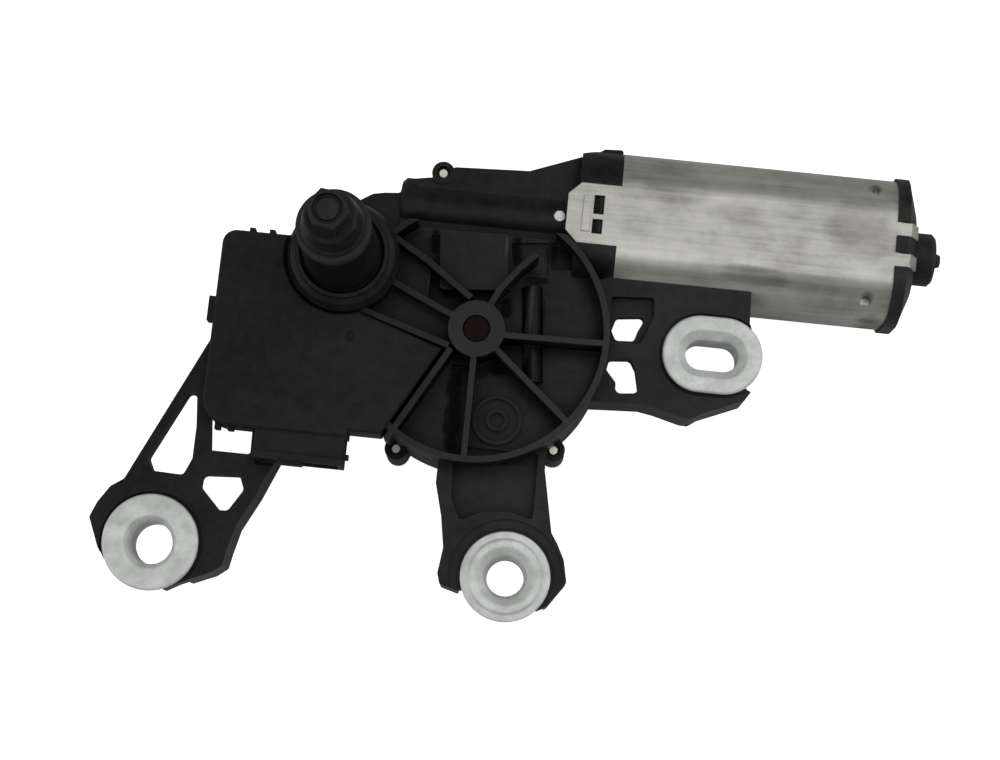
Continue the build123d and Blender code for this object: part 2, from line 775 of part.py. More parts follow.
# Electronics cover with the connector shroud
shroud_top_z = cover_face_z - 1.0
shroud_back_y = cover_step_y + 1.2
pin_low_z = board_low_z + board_thickness
pin_inner_y = -45.6
pin_outer_y = plug_mouth_y + 3.0
pin_places = [plug_x + pin_pitch * (i - (pin_count - 1) / 2) for i in range(pin_count)]
with BuildPart() as electronics_cover:
    extrude(cover_plan(tray_rim_z), amount=cover_face_z - tray_rim_z)
    chamfer(electronics_cover.faces().sort_by(Axis.Z)[-1].edges(), 0.6)
    extrude(
        cover_plan(tray_rim_z, inset=2.0, collar_gap=2.2),
        amount=cover_face_z - 2.0 - tray_rim_z,
        mode=Mode.SUBTRACT,
    )
    disc(4.6, -23.1, cover_face_z - 0.6, cover_face_z, 1.5, mode=Mode.SUBTRACT)
    block(
        (plug_x - plug_width / 2, plug_mouth_y, plug_low_z),
        (plug_x + plug_width / 2, shroud_back_y, shroud_top_z),
    )
    block(
        (plug_x - plug_width / 2, plug_mouth_y, shroud_top_z - 1.0),
        (plug_x + plug_width / 2, plug_mouth_y + 2.0, cover_face_z - 0.3),
    )
    block(
        (plug_x - plug_width / 2 + plug_wall, plug_mouth_y - 1, plug_low_z + plug_wall),
        (plug_x + plug_width / 2 - plug_wall, shroud_back_y - 2.0, shroud_top_z - plug_wall),
        mode=Mode.SUBTRACT,
    )
    for x in pin_places:
        block(
            (x - pin_width / 2 - 0.03, shroud_back_y - 3, pin_low_z - 0.03),
            (x + pin_width / 2 + 0.03, shroud_back_y + 1, pin_low_z + pin_thickness + 0.03),
            mode=Mode.SUBTRACT,
        )
    for x in (-27.2, -21.4):
        block((x - 0.8, cover_top_y - 0.4, 3.0), (x + 0.8, cover_top_y + 1.4, 7.0))
    for x in (-30.4, -26.6):
        block((x - 0.8, cover_bottom_y - 1.2, 3.0), (x + 0.8, cover_bottom_y + 0.9, 6.6))
    block((cover_left_x - 2.0, -22.4, 2.4), (cover_left_x + 0.3, -15.2, 7.4))
    block((plug_x - 5.6, plug_mouth_y - 1.3, 5.0), (plug_x + 1.6, plug_mouth_y + 0.5, shroud_top_z))
    block((plug_x + plug_width / 2 - 0.3, -58.6, 4.5), (plug_x + plug_width / 2 + 1.6, -57.0, 6.5))
finish(electronics_cover, "electronics_cover")

with BuildPart() as connector_pins:
    for x in pin_places:
        block(
            (x - pin_width / 2, pin_outer_y, pin_low_z),
            (x + pin_width / 2, pin_inner_y, pin_low_z + pin_thickness),
        )
finish(connector_pins, "connector_pins")

with BuildPart() as circuit_board:
    with BuildSketch(Plane.XY.offset(board_low_z)) as board_plan:
        add(cover_plan(0, inset=2.6, collar_gap=3.0))
        with Locations((plug_x, cover_step_y)):
            Rectangle(2 * plug_width + 30, 3.6, mode=Mode.SUBTRACT)
        split(bisect_by=Plane.XZ.offset(-cover_step_y - 1.8), keep=Keep.BOTTOM)
    extrude(board_plan.sketch, amount=board_thickness)
finish(circuit_board, "circuit_board")
board_high_z = board_low_z + board_thickness

relay_size = (15.4, 11.0, 12.4)
with BuildPart() as relay:
    block(
        (-25.0, -41.0, board_low_z - relay_size[2]),
        (-25.0 + relay_size[0], -41.0 + relay_size[1], board_low_z),
    )
    fillet(relay.faces().sort_by(Axis.Z)[0].edges(), 0.8)
finish(relay, "relay")

with BuildPart() as capacitor:
    turned(
        3.0,
        -34.0,
        [
            (0, board_high_z),
            (4.0, board_high_z),
            (4.0, board_high_z + 3.9),
            (3.6, board_high_z + 4.3),
            (0, board_high_z + 4.3),
        ],
    )
finish(capacitor, "capacitor")

with BuildPart() as power_transistors:
    for y in (-12.0, -22.0):
        block((-31.0, y - 3.3, board_high_z), (-24.8, y + 3.3, board_high_z + 2.3))
finish(power_transistors, "power_transistors")

with BuildPart() as controller_chip:
    block((-14.0, -34.0, board_high_z), (-7.0, -27.0, board_high_z + 1.6))
finish(controller_chip, "controller_chip")

# Rear cover, its gasket and screws
gasket_low_z = back_rim_z - gasket_thickness
cover_back_z = gasket_low_z - back_cover_thickness


def rear_plan(level):
    with BuildSketch(Plane.XY.offset(level)) as plan:
        with Locations((wheel_x, wheel_y)):
            Circle(chamber_outer - 0.2)
        for outline in (
            spindle_side_outline,
            [(2.0, 8.0), (2.0, 18.6), (12.4, 24.2), (15.6, 28.9), (21.3, 30.0), (64.5, 30.4), (64.5, 8.0)],
        ):
            with BuildLine():
                Polyline(*outline, close=True)
            make_face()
        with Locations(*eyes_seen):
            Circle(eye_radius)
        eye_webs()
        with Locations((motor_block_x + 19.6, shaft_y)):
            Rectangle(40, can_height + 0.4, mode=Mode.SUBTRACT)
        with Locations((can_start_x - tongue_length + 9.6, shaft_y)):
            Rectangle(20, 19, mode=Mode.SUBTRACT)
    return plan.sketch


with BuildPart() as back_cover:
    extrude(rear_plan(cover_back_z), amount=back_cover_thickness)
    disc(wheel_x, wheel_y, cover_back_z - 1.2, cover_back_z + 0.2, 14.0)
    disc(wheel_x, wheel_y, cover_back_z - 1.4, cover_back_z - 0.4, 9.0, mode=Mode.SUBTRACT)
    disc(0, 0, cover_back_z - 1.2, cover_back_z + 0.2, 10.0)
    for x, y in eyes_seen + eyes_hidden:
        disc(x, y, cover_back_z - 1, gasket_low_z + 1, screw_radius + 0.1, mode=Mode.SUBTRACT)
finish(back_cover, "back_cover")

with BuildPart() as back_gasket:
    extrude(rear_plan(gasket_low_z), amount=gasket_thickness)
    disc(wheel_x, wheel_y, gasket_low_z, back_rim_z, chamber_radius + 0.2, mode=Mode.SUBTRACT)
    plate(link_chamber, gasket_low_z, back_rim_z, corner=1.5, mode=Mode.SUBTRACT)
    for x, y in eyes_hidden:
        disc(x, y, gasket_low_z, back_rim_z, eye_radius)
    for x, y in eyes_seen + eyes_hidden:
        disc(x, y, gasket_low_z, back_rim_z, screw_radius + 0.1, mode=Mode.SUBTRACT)
finish(back_gasket, "back_gasket")

screw_head_radius = 3.5
screw_head_height = 2.4
with BuildPart() as cover_screws:
    for (x, y), top in zip(eyes_seen + eyes_hidden, eyes_front_z + [hidden_eye_top_z] * 2):
        tip = top - 0.8
        turned(
            x,
            y,
            [
                (0, cover_back_z - screw_head_height),
                (screw_head_radius - 0.8, cover_back_z - screw_head_height),
                (screw_head_radius, cover_back_z - screw_head_height + 1.0),
                (screw_head_radius, cover_back_z),
                (screw_radius, cover_back_z),
                (screw_radius, tip - 0.8),
                (screw_radius - 0.7, tip),
                (0, tip),
            ],
        )
        with BuildSketch(Plane.XY.offset(cover_back_z - screw_head_height)):
            with Locations((x, y)):
                RegularPolygon(1.6, 6)
        extrude(amount=1.4, mode=Mode.SUBTRACT)
finish(cover_screws, "cover_screws")

# Motor: can, end bell, magnets
prong_y = 4.6
prong_width = 4.0


def prongs(grow, mode=Mode.ADD):
    """The can's two staking fingers on each flat, bent over the end bell's shoulder."""
    for side in (1, -1):
        face = side * can_depth / 2
        outline = [
            (can_end_x - 3, face + side * grow),
            (can_end_x + 3.0 + grow, face + side * grow),
            (can_end_x + 5.6 + grow, face - side * 4.2),
            (can_end_x + 4.6, face - side * (5.2 + grow)),
            (can_end_x + 2.0, face - side * (can_wall + grow)),
            (can_end_x - 3, face - side * (can_wall + grow)),
        ]
        for y in (-prong_y, prong_y):
            with BuildSketch(Plane(origin=(0, shaft_y + y, shaft_z), x_dir=(1, 0, 0), z_dir=(0, -1, 0))) as finger:
                with BuildLine():
                    Polyline(*outline, close=True)
                make_face()
            extrude(finger.sketch, amount=prong_width / 2 + grow, both=True, mode=mode)


tongue_half = can_height / 2 - can_corner - 0.05
with BuildPart() as yoke:
    can_shape(can_start_x, can_end_x)
    for side in (1, -1):
        face = shaft_z + side * can_depth / 2
        plate(
            [
                (can_start_x + 2, shaft_y - tongue_half),
                (can_start_x + 2, shaft_y + tongue_half),
                (can_start_x - tongue_length + tongue_corner, shaft_y + tongue_half),
                (can_start_x - tongue_length, shaft_y + tongue_half - tongue_corner),
                (can_start_x - tongue_length, shaft_y - tongue_half + tongue_corner),
                (can_start_x - tongue_length + tongue_corner, shaft_y - tongue_half),
            ],
            min(face, face - side * can_wall),
            max(face, face - side * can_wall),
        )
    can_shape(can_start_x - 1, can_end_x + 1, grow=-can_wall, mode=Mode.SUBTRACT)
    for side in (1, -1):
        face = shaft_z + side * can_depth / 2
        for low, high in window_spans:
            block(
                (window_x, shaft_y + low, face - 3),
                (window_x + window_length, shaft_y + high, face + 3),
                mode=Mode.SUBTRACT,
            )
    front_face = shaft_z + can_depth / 2
    block(
        (window_x - 3.1, shaft_y - 5.5, front_face - 0.2),
        (window_x - 0.6, shaft_y + 5.3, front_face + 0.4),
    )
    disc(152.3, shaft_y + 15.5, front_face - 2.7, front_face + 1, 1.4, mode=Mode.SUBTRACT)
    disc(152.3, shaft_y - 17.4, front_face - 4.0, front_face + 1, 1.4, mode=Mode.SUBTRACT)
    prongs(0.0)
finish(yoke, "yoke")

bell_lap = 1.4
bell_grow = 0.9
bell_boss_radius = 7.9
bell_boss_x = 173.4
with BuildPart() as end_bell:
    can_shape(can_end_x - bell_lap, can_end_x + 2.2, grow=bell_grow)
    with BuildSketch(Plane.YZ.offset(can_end_x + 2.2)):
        with Locations((shaft_y, shaft_z)):
            RectangleRounded(can_height + 1.0, can_depth + 1.0, can_corner)
    with BuildSketch(Plane.YZ.offset(can_end_x + 5.4)):
        with Locations((shaft_y, shaft_z)):
            RectangleRounded(can_height - 16, can_depth - 13, can_corner - 4)
    loft()
    can_shape(can_end_x - bell_lap - 1, can_end_x, grow=0.1, mode=Mode.SUBTRACT)
    can_shape(can_end_x - 4, can_end_x + 0.5, grow=-can_wall - seat_gap)
    along_shaft(
        [
            (can_end_x + 4, 0),
            (can_end_x + 4, bell_boss_radius),
            (bell_boss_x - 1.0, bell_boss_radius),
            (bell_boss_x, bell_boss_radius - 1.0),
            (bell_boss_x, 2.6),
            (bell_boss_x + 2.2, 1.8),
            (bell_boss_x + 2.2, 0),
        ]
    )
    can_shape(can_end_x - 5, can_end_x + 2.0, grow=-can_wall - 2.2, mode=Mode.SUBTRACT)
    along_shaft([(can_end_x, 0), (can_end_x, 6.0), (171.8, 6.0), (171.8, 0)], mode=Mode.SUBTRACT)
    prongs(0.12, mode=Mode.SUBTRACT)
    for side in (1, -1):
        face = shaft_z + side * can_depth / 2
        for y in (shaft_y - prong_y, shaft_y + prong_y):
            block(
                (can_end_x - bell_lap - 1, y - prong_width / 2 - 0.12, min(face, face + 3 * side)),
                (can_end_x + 3.2, y + prong_width / 2 + 0.12, max(face, face + 3 * side)),
                mode=Mode.SUBTRACT,
            )
finish(end_bell, "end_bell")

rotor_radius = 13.2
rotor_start_x = 104.0
rotor_end_x = 146.0
magnet_inner = rotor_radius + 0.7
magnet_outer = 18.9
magnet_half_angle = 48.0


def motor_plane(x):
    """Plane across the shaft: its first direction is +Y, its second +Z, centred on the shaft."""
    return Plane(origin=(x, shaft_y, shaft_z), x_dir=(0, 1, 0), z_dir=(1, 0, 0))


with BuildPart() as magnets:
    for heading in (0, 180):
        with BuildSketch(motor_plane(rotor_start_x - 4)) as arc:
            Circle(magnet_outer)
            Circle(magnet_inner, mode=Mode.SUBTRACT)
            with BuildLine():
                far = 3 * magnet_outer
                low = math.radians(heading - magnet_half_angle)
                high = math.radians(heading + magnet_half_angle)
                middle = math.radians(heading)
                Polyline(
                    (0, 0),
                    (far * math.cos(low), far * math.sin(low)),
                    (far * math.cos(middle), far * math.sin(middle)),
                    (far * math.cos(high), far * math.sin(high)),
                    close=True,
                )
            make_face(mode=Mode.INTERSECT)
        extrude(arc.sketch, amount=rotor_end_x - rotor_start_x + 8)
finish(magnets, "magnets")

clip_half = 8.6
clip_z = can_depth / 2 - can_wall - 0.15
with BuildPart() as magnet_clips:
    for side in (1, -1):
        with BuildSketch(motor_plane(rotor_start_x)) as bow:
            with BuildLine():
                Polyline(
                    (-clip_half, side * (clip_z - 3.4)),
                    (-clip_half + 2.4, side * clip_z),
                    (clip_half - 2.4, side * clip_z),
                    (clip_half, side * (clip_z - 3.4)),
                    (clip_half - 0.7, side * (clip_z - 3.6)),
                    (clip_half - 3.0, side * (clip_z - 0.6)),
                    (-clip_half + 3.0, side * (clip_z - 0.6)),
                    (-clip_half + 0.7, side * (clip_z - 3.6)),
                    close=True,
                )
            make_face()
        extrude(bow.sketch, amount=rotor_end_x - rotor_start_x)
finish(magnet_clips, "magnet_clips")

# Armature
slot_count = 10
commutator_start_x = 87.5
commutator_end_x = 99.0
commutator_radius = 7.0
thread_tip = worm_pitch_radius + 0.95 * worm_module
thread_root = worm_pitch_radius - 1.15 * worm_module
thread_pitch = math.pi * worm_module
bearing_gap = 0.04

with BuildPart() as armature_shaft:
    along_shaft(
        [
            (shaft_tip_x, 0),
            (shaft_tip_x, shaft_radius - 0.4),
            (shaft_tip_x + 0.4, shaft_radius),
            (worm_start_x - 2, shaft_radius),
            (worm_start_x - 1, thread_root),
            (worm_end_x + 1, thread_root),
            (worm_end_x + 2, shaft_radius),
            (171.0, shaft_radius),
            (171.0, 0),
        ]
    )
    along_shaft(
        [
            (shaft_tip_x - 0.4, 0),
            (shaft_tip_x - 0.4, 1.55),
            (shaft_tip_x + 1.4, 1.55),
            (shaft_tip_x + 1.4, 0),
        ],
        mode=Mode.SUBTRACT,
    )
    thread_start_x = wheel_x - 3.25 * thread_pitch
    with BuildLine() as thread_path:
        Helix(
            pitch=thread_pitch,
            height=6.5 * thread_pitch,
            radius=worm_pitch_radius,
            center=(thread_start_x, shaft_y, shaft_z),
            direction=(1, 0, 0),
        )
    start = thread_path.line @ 0
    outward = (start - Vector(thread_start_x, shaft_y, shaft_z)).normalized()
    half_thread = (thread_pitch / 2 - worm_clearance / 2) / 2
    flank = math.tan(math.radians(20))
    lean = math.atan2(thread_pitch, 2 * math.pi * worm_pitch_radius)
    with BuildSketch(Plane(origin=start, x_dir=outward, z_dir=thread_path.line % 0)) as tooth:
        rise = thread_tip - worm_pitch_radius
        sink = thread_root - worm_pitch_radius - 0.3
        with BuildLine():
            Polyline(
                (sink, -(half_thread - flank * sink) * math.cos(lean)),
                (rise, -(half_thread - flank * rise) * math.cos(lean)),
                (rise, (half_thread - flank * rise) * math.cos(lean)),
                (sink, (half_thread - flank * sink) * math.cos(lean)),
                close=True,
            )
        make_face()
    sweep(tooth.sketch, path=thread_path.line, is_frenet=True)
finish(armature_shaft, "armature_shaft")

with BuildPart() as thrust_ball:
    with Locations((shaft_tip_x - 0.1, shaft_y, shaft_z)):
        Sphere(1.5)
finish(thrust_ball, "thrust_ball")

with BuildPart() as thrust_pad:
    along_shaft([(pad_x, 0), (pad_x, 5.0), (pad_x + pad_thickness, 5.0), (pad_x + pad_thickness, 0)])
finish(thrust_pad, "thrust_pad")

with BuildPart() as rear_thrust_pad:
    along_shaft([(171.0, 0), (171.0, 4.0), (171.8, 4.0), (171.8, 0)])
finish(rear_thrust_pad, "rear_thrust_pad")


def bearing(start, end, outer):
    """Sintered bearing ring on the armature shaft, chamfered at both ends."""
    inner = shaft_radius + bearing_gap
    along_shaft(
        [
            (start, inner),
            (start, outer - 0.6),
            (start + 0.6, outer),
            (end - 0.6, outer),
            (end, outer - 0.6),
            (end, inner),
        ]
    )


with BuildPart() as nose_bearing:
    bearing(19.0, 24.6, tunnel_bore)
finish(nose_bearing, "nose_bearing")

with BuildPart() as front_bearing:
    bearing(70.0, 77.0, 8.0)
finish(front_bearing, "front_bearing")

with BuildPart() as rear_bearing:
    bearing(164.0, 170.4, 6.0)
finish(rear_bearing, "rear_bearing")


def slot_outline(inset):
    """One winding slot of the lamination, in the plane across the shaft, on its second axis."""
    return [
        (-1.2 + inset, 7.0 + inset),
        (1.2 - inset, 7.0 + inset),
        (2.3 - inset, 11.6 - inset),
        (-2.3 + inset, 11.6 - inset),
    ]


with BuildPart() as lamination_stack:
    with BuildSketch(motor_plane(rotor_start_x)) as lamination:
        Circle(rotor_radius)
        Circle(shaft_radius, mode=Mode.SUBTRACT)
        with PolarLocations(0, slot_count):
            with BuildLine():
                Polyline(*[(y, -x) for x, y in slot_outline(0)], close=True)
            make_face(mode=Mode.SUBTRACT)
            with Locations((12.6, 0)):
                Rectangle(2.4, 1.4, mode=Mode.SUBTRACT)
    extrude(lamination.sketch, amount=rotor_end_x - rotor_start_x)
finish(lamination_stack, "lamination_stack")

with BuildPart() as windings:
    for inner_x, outer_x in ((rotor_start_x - 0.1, 100.4), (rotor_end_x + 0.1, 151.5)):
        along_shaft(
            [
                (inner_x, 4.4),
                (inner_x, 11.6),
                (inner_x + 0.6 * (outer_x - inner_x), 12.2),
                (outer_x, 10.4),
                (outer_x, 5.6),
                (inner_x + 0.5 * (outer_x - inner_x), 4.4),
            ]
        )
    with BuildSketch(motor_plane(rotor_start_x - 0.5)) as bars:
        with PolarLocations(0, slot_count):
            with BuildLine():
                Polyline(*[(y, -x) for x, y in slot_outline(0.25)], close=True)
            make_face()
    extrude(bars.sketch, amount=rotor_end_x - rotor_start_x + 1)
finish(windings, "windings")

with BuildPart() as commutator:
    along_shaft(
        [
            (commutator_start_x, shaft_radius),
            (commutator_start_x, commutator_radius),
            (commutator_end_x - 2, commutator_radius),
            (commutator_end_x - 2, commutator_radius + 1),
            (commutator_end_x, commutator_radius + 1),
            (commutator_end_x, shaft_radius),
        ]
    )
    with BuildSketch(motor_plane(commutator_start_x - 0.5)) as gaps:
        with PolarLocations(commutator_radius, slot_count, start_angle=18):
            Rectangle(1.4, 0.5)
    extrude(gaps.sketch, amount=commutator_end_x - commutator_start_x - 2, mode=Mode.SUBTRACT)
finish(commutator, "commutator")

card_low_x = can_start_x + 6.2
card_high_x = card_low_x + 2.0
brush_low_x = 90.0
brush_high_x = 95.4
brush_half = 2.0
brush_end = 14.5
with BuildPart() as brush_card:
    can_shape(card_low_x, card_high_x, grow=-can_wall - 0.2)
    along_shaft([(card_low_x - 1, 0), (card_low_x - 1, 8.4), (card_high_x + 1, 8.4), (card_high_x + 1, 0)], mode=Mode.SUBTRACT)
    for side in (1, -1):
        low_y, high_y = sorted((shaft_y + side * 8.8, shaft_y + side * 15.2))
        block((card_high_x - 0.1, low_y, shaft_z - 3), (96.4, high_y, shaft_z + 3))
        block(
            (brush_low_x - 0.1, low_y - 1, shaft_z - brush_half - 0.1),
            (brush_high_x + 0.1, high_y + 1, shaft_z + brush_half + 0.1),
            mode=Mode.SUBTRACT,
        )
finish(brush_card, "brush_card")

with BuildPart() as brushes:
    for side in (1, -1):
        low_y, high_y = sorted((shaft_y + side * 4.0, shaft_y + side * brush_end))
        block((brush_low_x, low_y, shaft_z - brush_half), (brush_high_x, high_y, shaft_z + brush_half))
    along_shaft(
        [(80, 0), (80, commutator_radius + 0.06), (98, commutator_radius + 0.06), (98, 0)],
        mode=Mode.SUBTRACT,
    )
finish(brushes, "brushes")

spring_outline = [
    (86.5, 17.4),
    (88.4, 17.4),
    (92.8, brush_end),
    (93.2, brush_end),
    (95.2, 15.8),
    (95.0, 16.2),
    (93.0, 15.0),
    (88.6, 17.9),
    (86.5, 17.9),
]
with BuildPart() as brush_springs:
    for side in (1, -1):
        plate([(x, shaft_y + side * y) for x, y in spring_outline], shaft_z - 1.5, shaft_z + 1.5)
finish(brush_springs, "brush_springs")

with BuildPart() as chokes:
    for y in (-12.0, 12.0):
        with BuildSketch(motor_plane(card_high_x)) as coil:
            with Locations((y, 9.0)):
                Circle(2.2)
        extrude(coil.sketch, amount=9.5)
finish(chokes, "chokes")

with BuildPart() as tunnel_pin:
    disc(dowel_x, shaft_y, shaft_z + tunnel_bore + 0.4, -6.4, dowel_radius)
    chamfer(tunnel_pin.faces().sort_by(Axis.Z)[-1].edges(), 0.3)
finish(tunnel_pin, "tunnel_pin")

# Worm wheel: its helical teeth are ruled between two turned copies of one involute outline
tooth_half_turn = math.pi / wheel_teeth
twist_rate = thread_pitch / (2 * math.pi * worm_pitch_radius) / wheel_pitch_radius
wheel_face_z = shaft_z - 0.5
hub_top_z = chamber_front_z - wall - 0.3
crank_angle = math.degrees(link_heading)


def gear_points(centre, teeth, module, backlash, turn, steps=2):
    return [(centre[0] + x, centre[1] + y) for x, y in involute_outline(teeth, module, backlash, turn, steps)]


with BuildPart() as worm_wheel:
    for level in (wheel_low_z, wheel_high_z):
        turn = math.pi / 2 + tooth_half_turn + (level - shaft_z) * twist_rate
        with BuildSketch(Plane.XY.offset(level)):
            with BuildLine():
                Polyline(
                    *gear_points((wheel_x, wheel_y), wheel_teeth, worm_module, worm_clearance / 2, turn),
                    close=True,
                )
            make_face()
    loft(ruled=True)
    turned(
        wheel_x,
        wheel_y,
        [
            (wheel_hub_radius, wheel_face_z),
            (30.0, wheel_face_z),
            (30.6, wheel_high_z + 1),
            (wheel_hub_radius, wheel_high_z + 1),
        ],
        mode=Mode.SUBTRACT,
    )
    disc(wheel_x, wheel_y, wheel_face_z - 1, hub_top_z, wheel_hub_radius)
    with BuildSketch(Plane.XY.offset(wheel_face_z - 0.5)) as ribs:
        with Locations((wheel_x, wheel_y)):
            with PolarLocations(19.0, 6, start_angle=crank_angle + 30):
                Rectangle(24.0, 1.4)
    extrude(ribs.sketch, amount=wheel_high_z - 1.5 - wheel_face_z + 0.5)
    turned(
        wheel_x,
        wheel_y,
        [
            (15.5, wheel_low_z - 1),
            (29.0, wheel_low_z - 1),
            (29.0, wheel_low_z + 1.2),
            (15.5, wheel_low_z + 1.2),
        ],
        mode=Mode.SUBTRACT,
    )
    disc(wheel_x, wheel_y, wheel_low_z - 1, hub_top_z + 1, axle_radius + running_gap, mode=Mode.SUBTRACT)
    disc(*crank_pin_xy, wheel_low_z - 1, wheel_low_z + 3, 3.0, mode=Mode.SUBTRACT)
    with BuildSketch(Plane.XY.offset(wheel_face_z - 1.0)) as pocket:
        with Locations((wheel_x, wheel_y)):
            with PolarLocations(23.0, 1, start_angle=crank_angle):
                Circle(3.0)
    extrude(pocket.sketch, amount=2, mode=Mode.SUBTRACT)
finish(worm_wheel, "worm_wheel")

with BuildPart() as park_magnet:
    with BuildSketch(Plane.XY.offset(wheel_face_z - 1.0)) as button:
        with Locations((wheel_x, wheel_y)):
            with PolarLocations(23.0, 1, start_angle=crank_angle):
                Circle(3.0)
    extrude(button.sketch, amount=2.4)
finish(park_magnet, "park_magnet")

with BuildPart() as crank_pin:
    disc(*crank_pin_xy, link_high_z + run_gap, wheel_low_z + 3, 3.0)
finish(crank_pin, "crank_pin")

clip_low_z = wheel_low_z - 1.1
with BuildPart() as wheel_axle:
    turned(
        wheel_x,
        wheel_y,
        [
            (0, clip_low_z - 0.4),
            (axle_radius - 0.4, clip_low_z - 0.4),
            (axle_radius, clip_low_z),
            (axle_radius - 0.6, clip_low_z),
            (axle_radius - 0.6, clip_low_z + 0.6),
            (axle_radius, clip_low_z + 0.6),
            (axle_radius, axle_top_z - 0.4),
            (axle_radius - 0.4, axle_top_z),
            (0, axle_top_z),
        ],
    )
finish(wheel_axle, "wheel_axle")


def open_ring(x, y, low, high, inner, outer, gap_angle):
    """Snap ring with a gap."""
    with BuildSketch(Plane.XY.offset(low)) as ring:
        with Locations((x, y)):
            Circle(outer)
            Circle(inner, mode=Mode.SUBTRACT)
        with Locations((x + outer * math.cos(gap_angle), y + outer * math.sin(gap_angle))):
            Rectangle(2 * outer - 2, inner, rotation=math.degrees(gap_angle), mode=Mode.SUBTRACT)
    extrude(ring.sketch, amount=high - low)


with BuildPart() as axle_clip:
    open_ring(wheel_x, wheel_y, clip_low_z, clip_low_z + 0.6, axle_radius - 0.6, 6.6, 0.5)
finish(axle_clip, "axle_clip")

with BuildPart() as wheel_washer:
    disc(wheel_x, wheel_y, clip_low_z + 0.65, wheel_low_z, 7.0)
    disc(wheel_x, wheel_y, clip_low_z, wheel_low_z, axle_radius + running_gap, mode=Mode.SUBTRACT)
finish(wheel_washer, "wheel_washer")

# Toothed link and guide plate
mesh_heading = math.atan2(-link_pin_xy[1], -link_pin_xy[0])
sector_pitch_angle = 2 * math.pi / sector_teeth
drive_backlash = 0.15
link_hole = 2.5
link_eye = 4.4
with BuildPart() as toothed_link:
    with BuildSketch(Plane.XY.offset(link_low_z)) as link_plan:
        with BuildLine():
            Polyline(
                *gear_points(
                    link_pin_xy,
                    sector_teeth,
                    drive_module,
                    drive_backlash,
                    mesh_heading + sector_pitch_angle / 2,
                ),
                close=True,
            )
        make_face()
        wedge = [
            (
                link_pin_xy[0] + 30 * math.cos(mesh_heading + steps * sector_pitch_angle),
                link_pin_xy[1] + 30 * math.sin(mesh_heading + steps * sector_pitch_angle),
            )
            for steps in (-2, 1, 4)
        ]
        with BuildLine():
            Polyline(link_pin_xy, *wedge, close=True)
        make_face(mode=Mode.INTERSECT)
        with Locations(link_pin_xy):
            Circle(7.5)
        with Locations(crank_pin_xy):
            Circle(6.8)
        with Locations(
            ((link_pin_xy[0] + crank_pin_xy[0]) / 2, (link_pin_xy[1] + crank_pin_xy[1]) / 2),
        ):
            Rectangle(link_length, 8.6, rotation=math.degrees(link_heading))
        with Locations(link_pin_xy):
            Circle(link_hole + running_gap, mode=Mode.SUBTRACT)
        with Locations(crank_pin_xy):
            Circle(link_eye, mode=Mode.SUBTRACT)
    extrude(link_plan.sketch, amount=link_thickness)
finish(toothed_link, "toothed_link")

with BuildPart() as link_bush:
    disc(*crank_pin_xy, link_low_z, link_high_z, link_eye)
    disc(*crank_pin_xy, link_low_z, link_high_z, 3.05, mode=Mode.SUBTRACT)
finish(link_bush, "link_bush")

with BuildPart() as link_pin:
    turned(
        *link_pin_xy,
        [
            (0, plate_low_z - 0.7),
            (3.0, plate_low_z - 0.7),
            (3.6, plate_low_z),
            (link_hole, plate_low_z),
            (link_hole, link_high_z + 0.1),
            (4.2, link_high_z + 0.1),
            (3.6, link_high_z + 0.9),
            (0, link_high_z + 0.9),
        ],
    )
finish(link_pin, "link_pin")

with BuildPart() as guide_plate:
    with BuildSketch(Plane.XY.offset(plate_low_z)) as guide_plan:
        Circle(9.0)
        with Locations(link_pin_xy):
            Circle(6.5)
        with Locations((link_pin_xy[0] / 2, link_pin_xy[1] / 2)):
            Rectangle(guide_radius, 12.0, rotation=math.degrees(guide_rest))
        Circle(spindle_radius + running_gap, mode=Mode.SUBTRACT)
        with Locations(link_pin_xy):
            Circle(link_hole, mode=Mode.SUBTRACT)
    extrude(guide_plan.sketch, amount=plate_thickness)
finish(guide_plate, "guide_plate")

# Spindle
groove_radius = 4.2
spindle_end_z = plate_low_z - 1.3
with BuildPart() as spindle:
    turned(
        0,
        0,
        [
            (0, spindle_end_z),
            (spindle_radius - 0.5, spindle_end_z),
            (spindle_radius, spindle_end_z + 0.4),
            (spindle_radius, plate_low_z - 0.75),
            (groove_radius, plate_low_z - 0.75),
            (groove_radius, plate_low_z - 0.15),
            (spindle_radius, plate_low_z - 0.15),
            (spindle_radius, taper_z),
            (spindle_end_radius, thread_z),
            (spindle_end_radius, spindle_tip_z - 0.8),
            (spindle_end_radius - 0.8, spindle_tip_z),
            (0, spindle_tip_z),
        ],
    )
finish(spindle, "spindle")

with BuildPart() as spindle_pinion:
    with BuildSketch(Plane.XY.offset(link_low_z)) as pinion_plan:
        with BuildLine():
            Polyline(
                *gear_points((0, 0), pinion_teeth, drive_module, drive_backlash, mesh_heading + math.pi),
                close=True,
            )
        make_face()
        Circle(spindle_radius, mode=Mode.SUBTRACT)
    extrude(pinion_plan.sketch, amount=link_thickness)
finish(spindle_pinion, "spindle_pinion")

with BuildPart() as spindle_spacer:
    disc(0, 0, link_high_z, lower_bush_z[0] - 0.05, bush_outer - 0.3)
    disc(0, 0, link_high_z, lower_bush_z[0], spindle_radius, mode=Mode.SUBTRACT)
finish(spindle_spacer, "spindle_spacer")

with BuildPart() as spindle_clip:
    open_ring(0, 0, plate_low_z - 0.75, plate_low_z - 0.15, groove_radius, 7.6, 2.0)
finish(spindle_clip, "spindle_clip")


def spindle_bush(levels):
    disc(0, 0, *levels, bush_outer)
    disc(0, 0, *levels, spindle_radius + running_gap, mode=Mode.SUBTRACT)


with BuildPart() as spindle_bush_upper:
    spindle_bush(upper_bush_z)
finish(spindle_bush_upper, "spindle_bush_upper")

with BuildPart() as spindle_bush_lower:
    spindle_bush(lower_bush_z)
finish(spindle_bush_lower, "spindle_bush_lower")

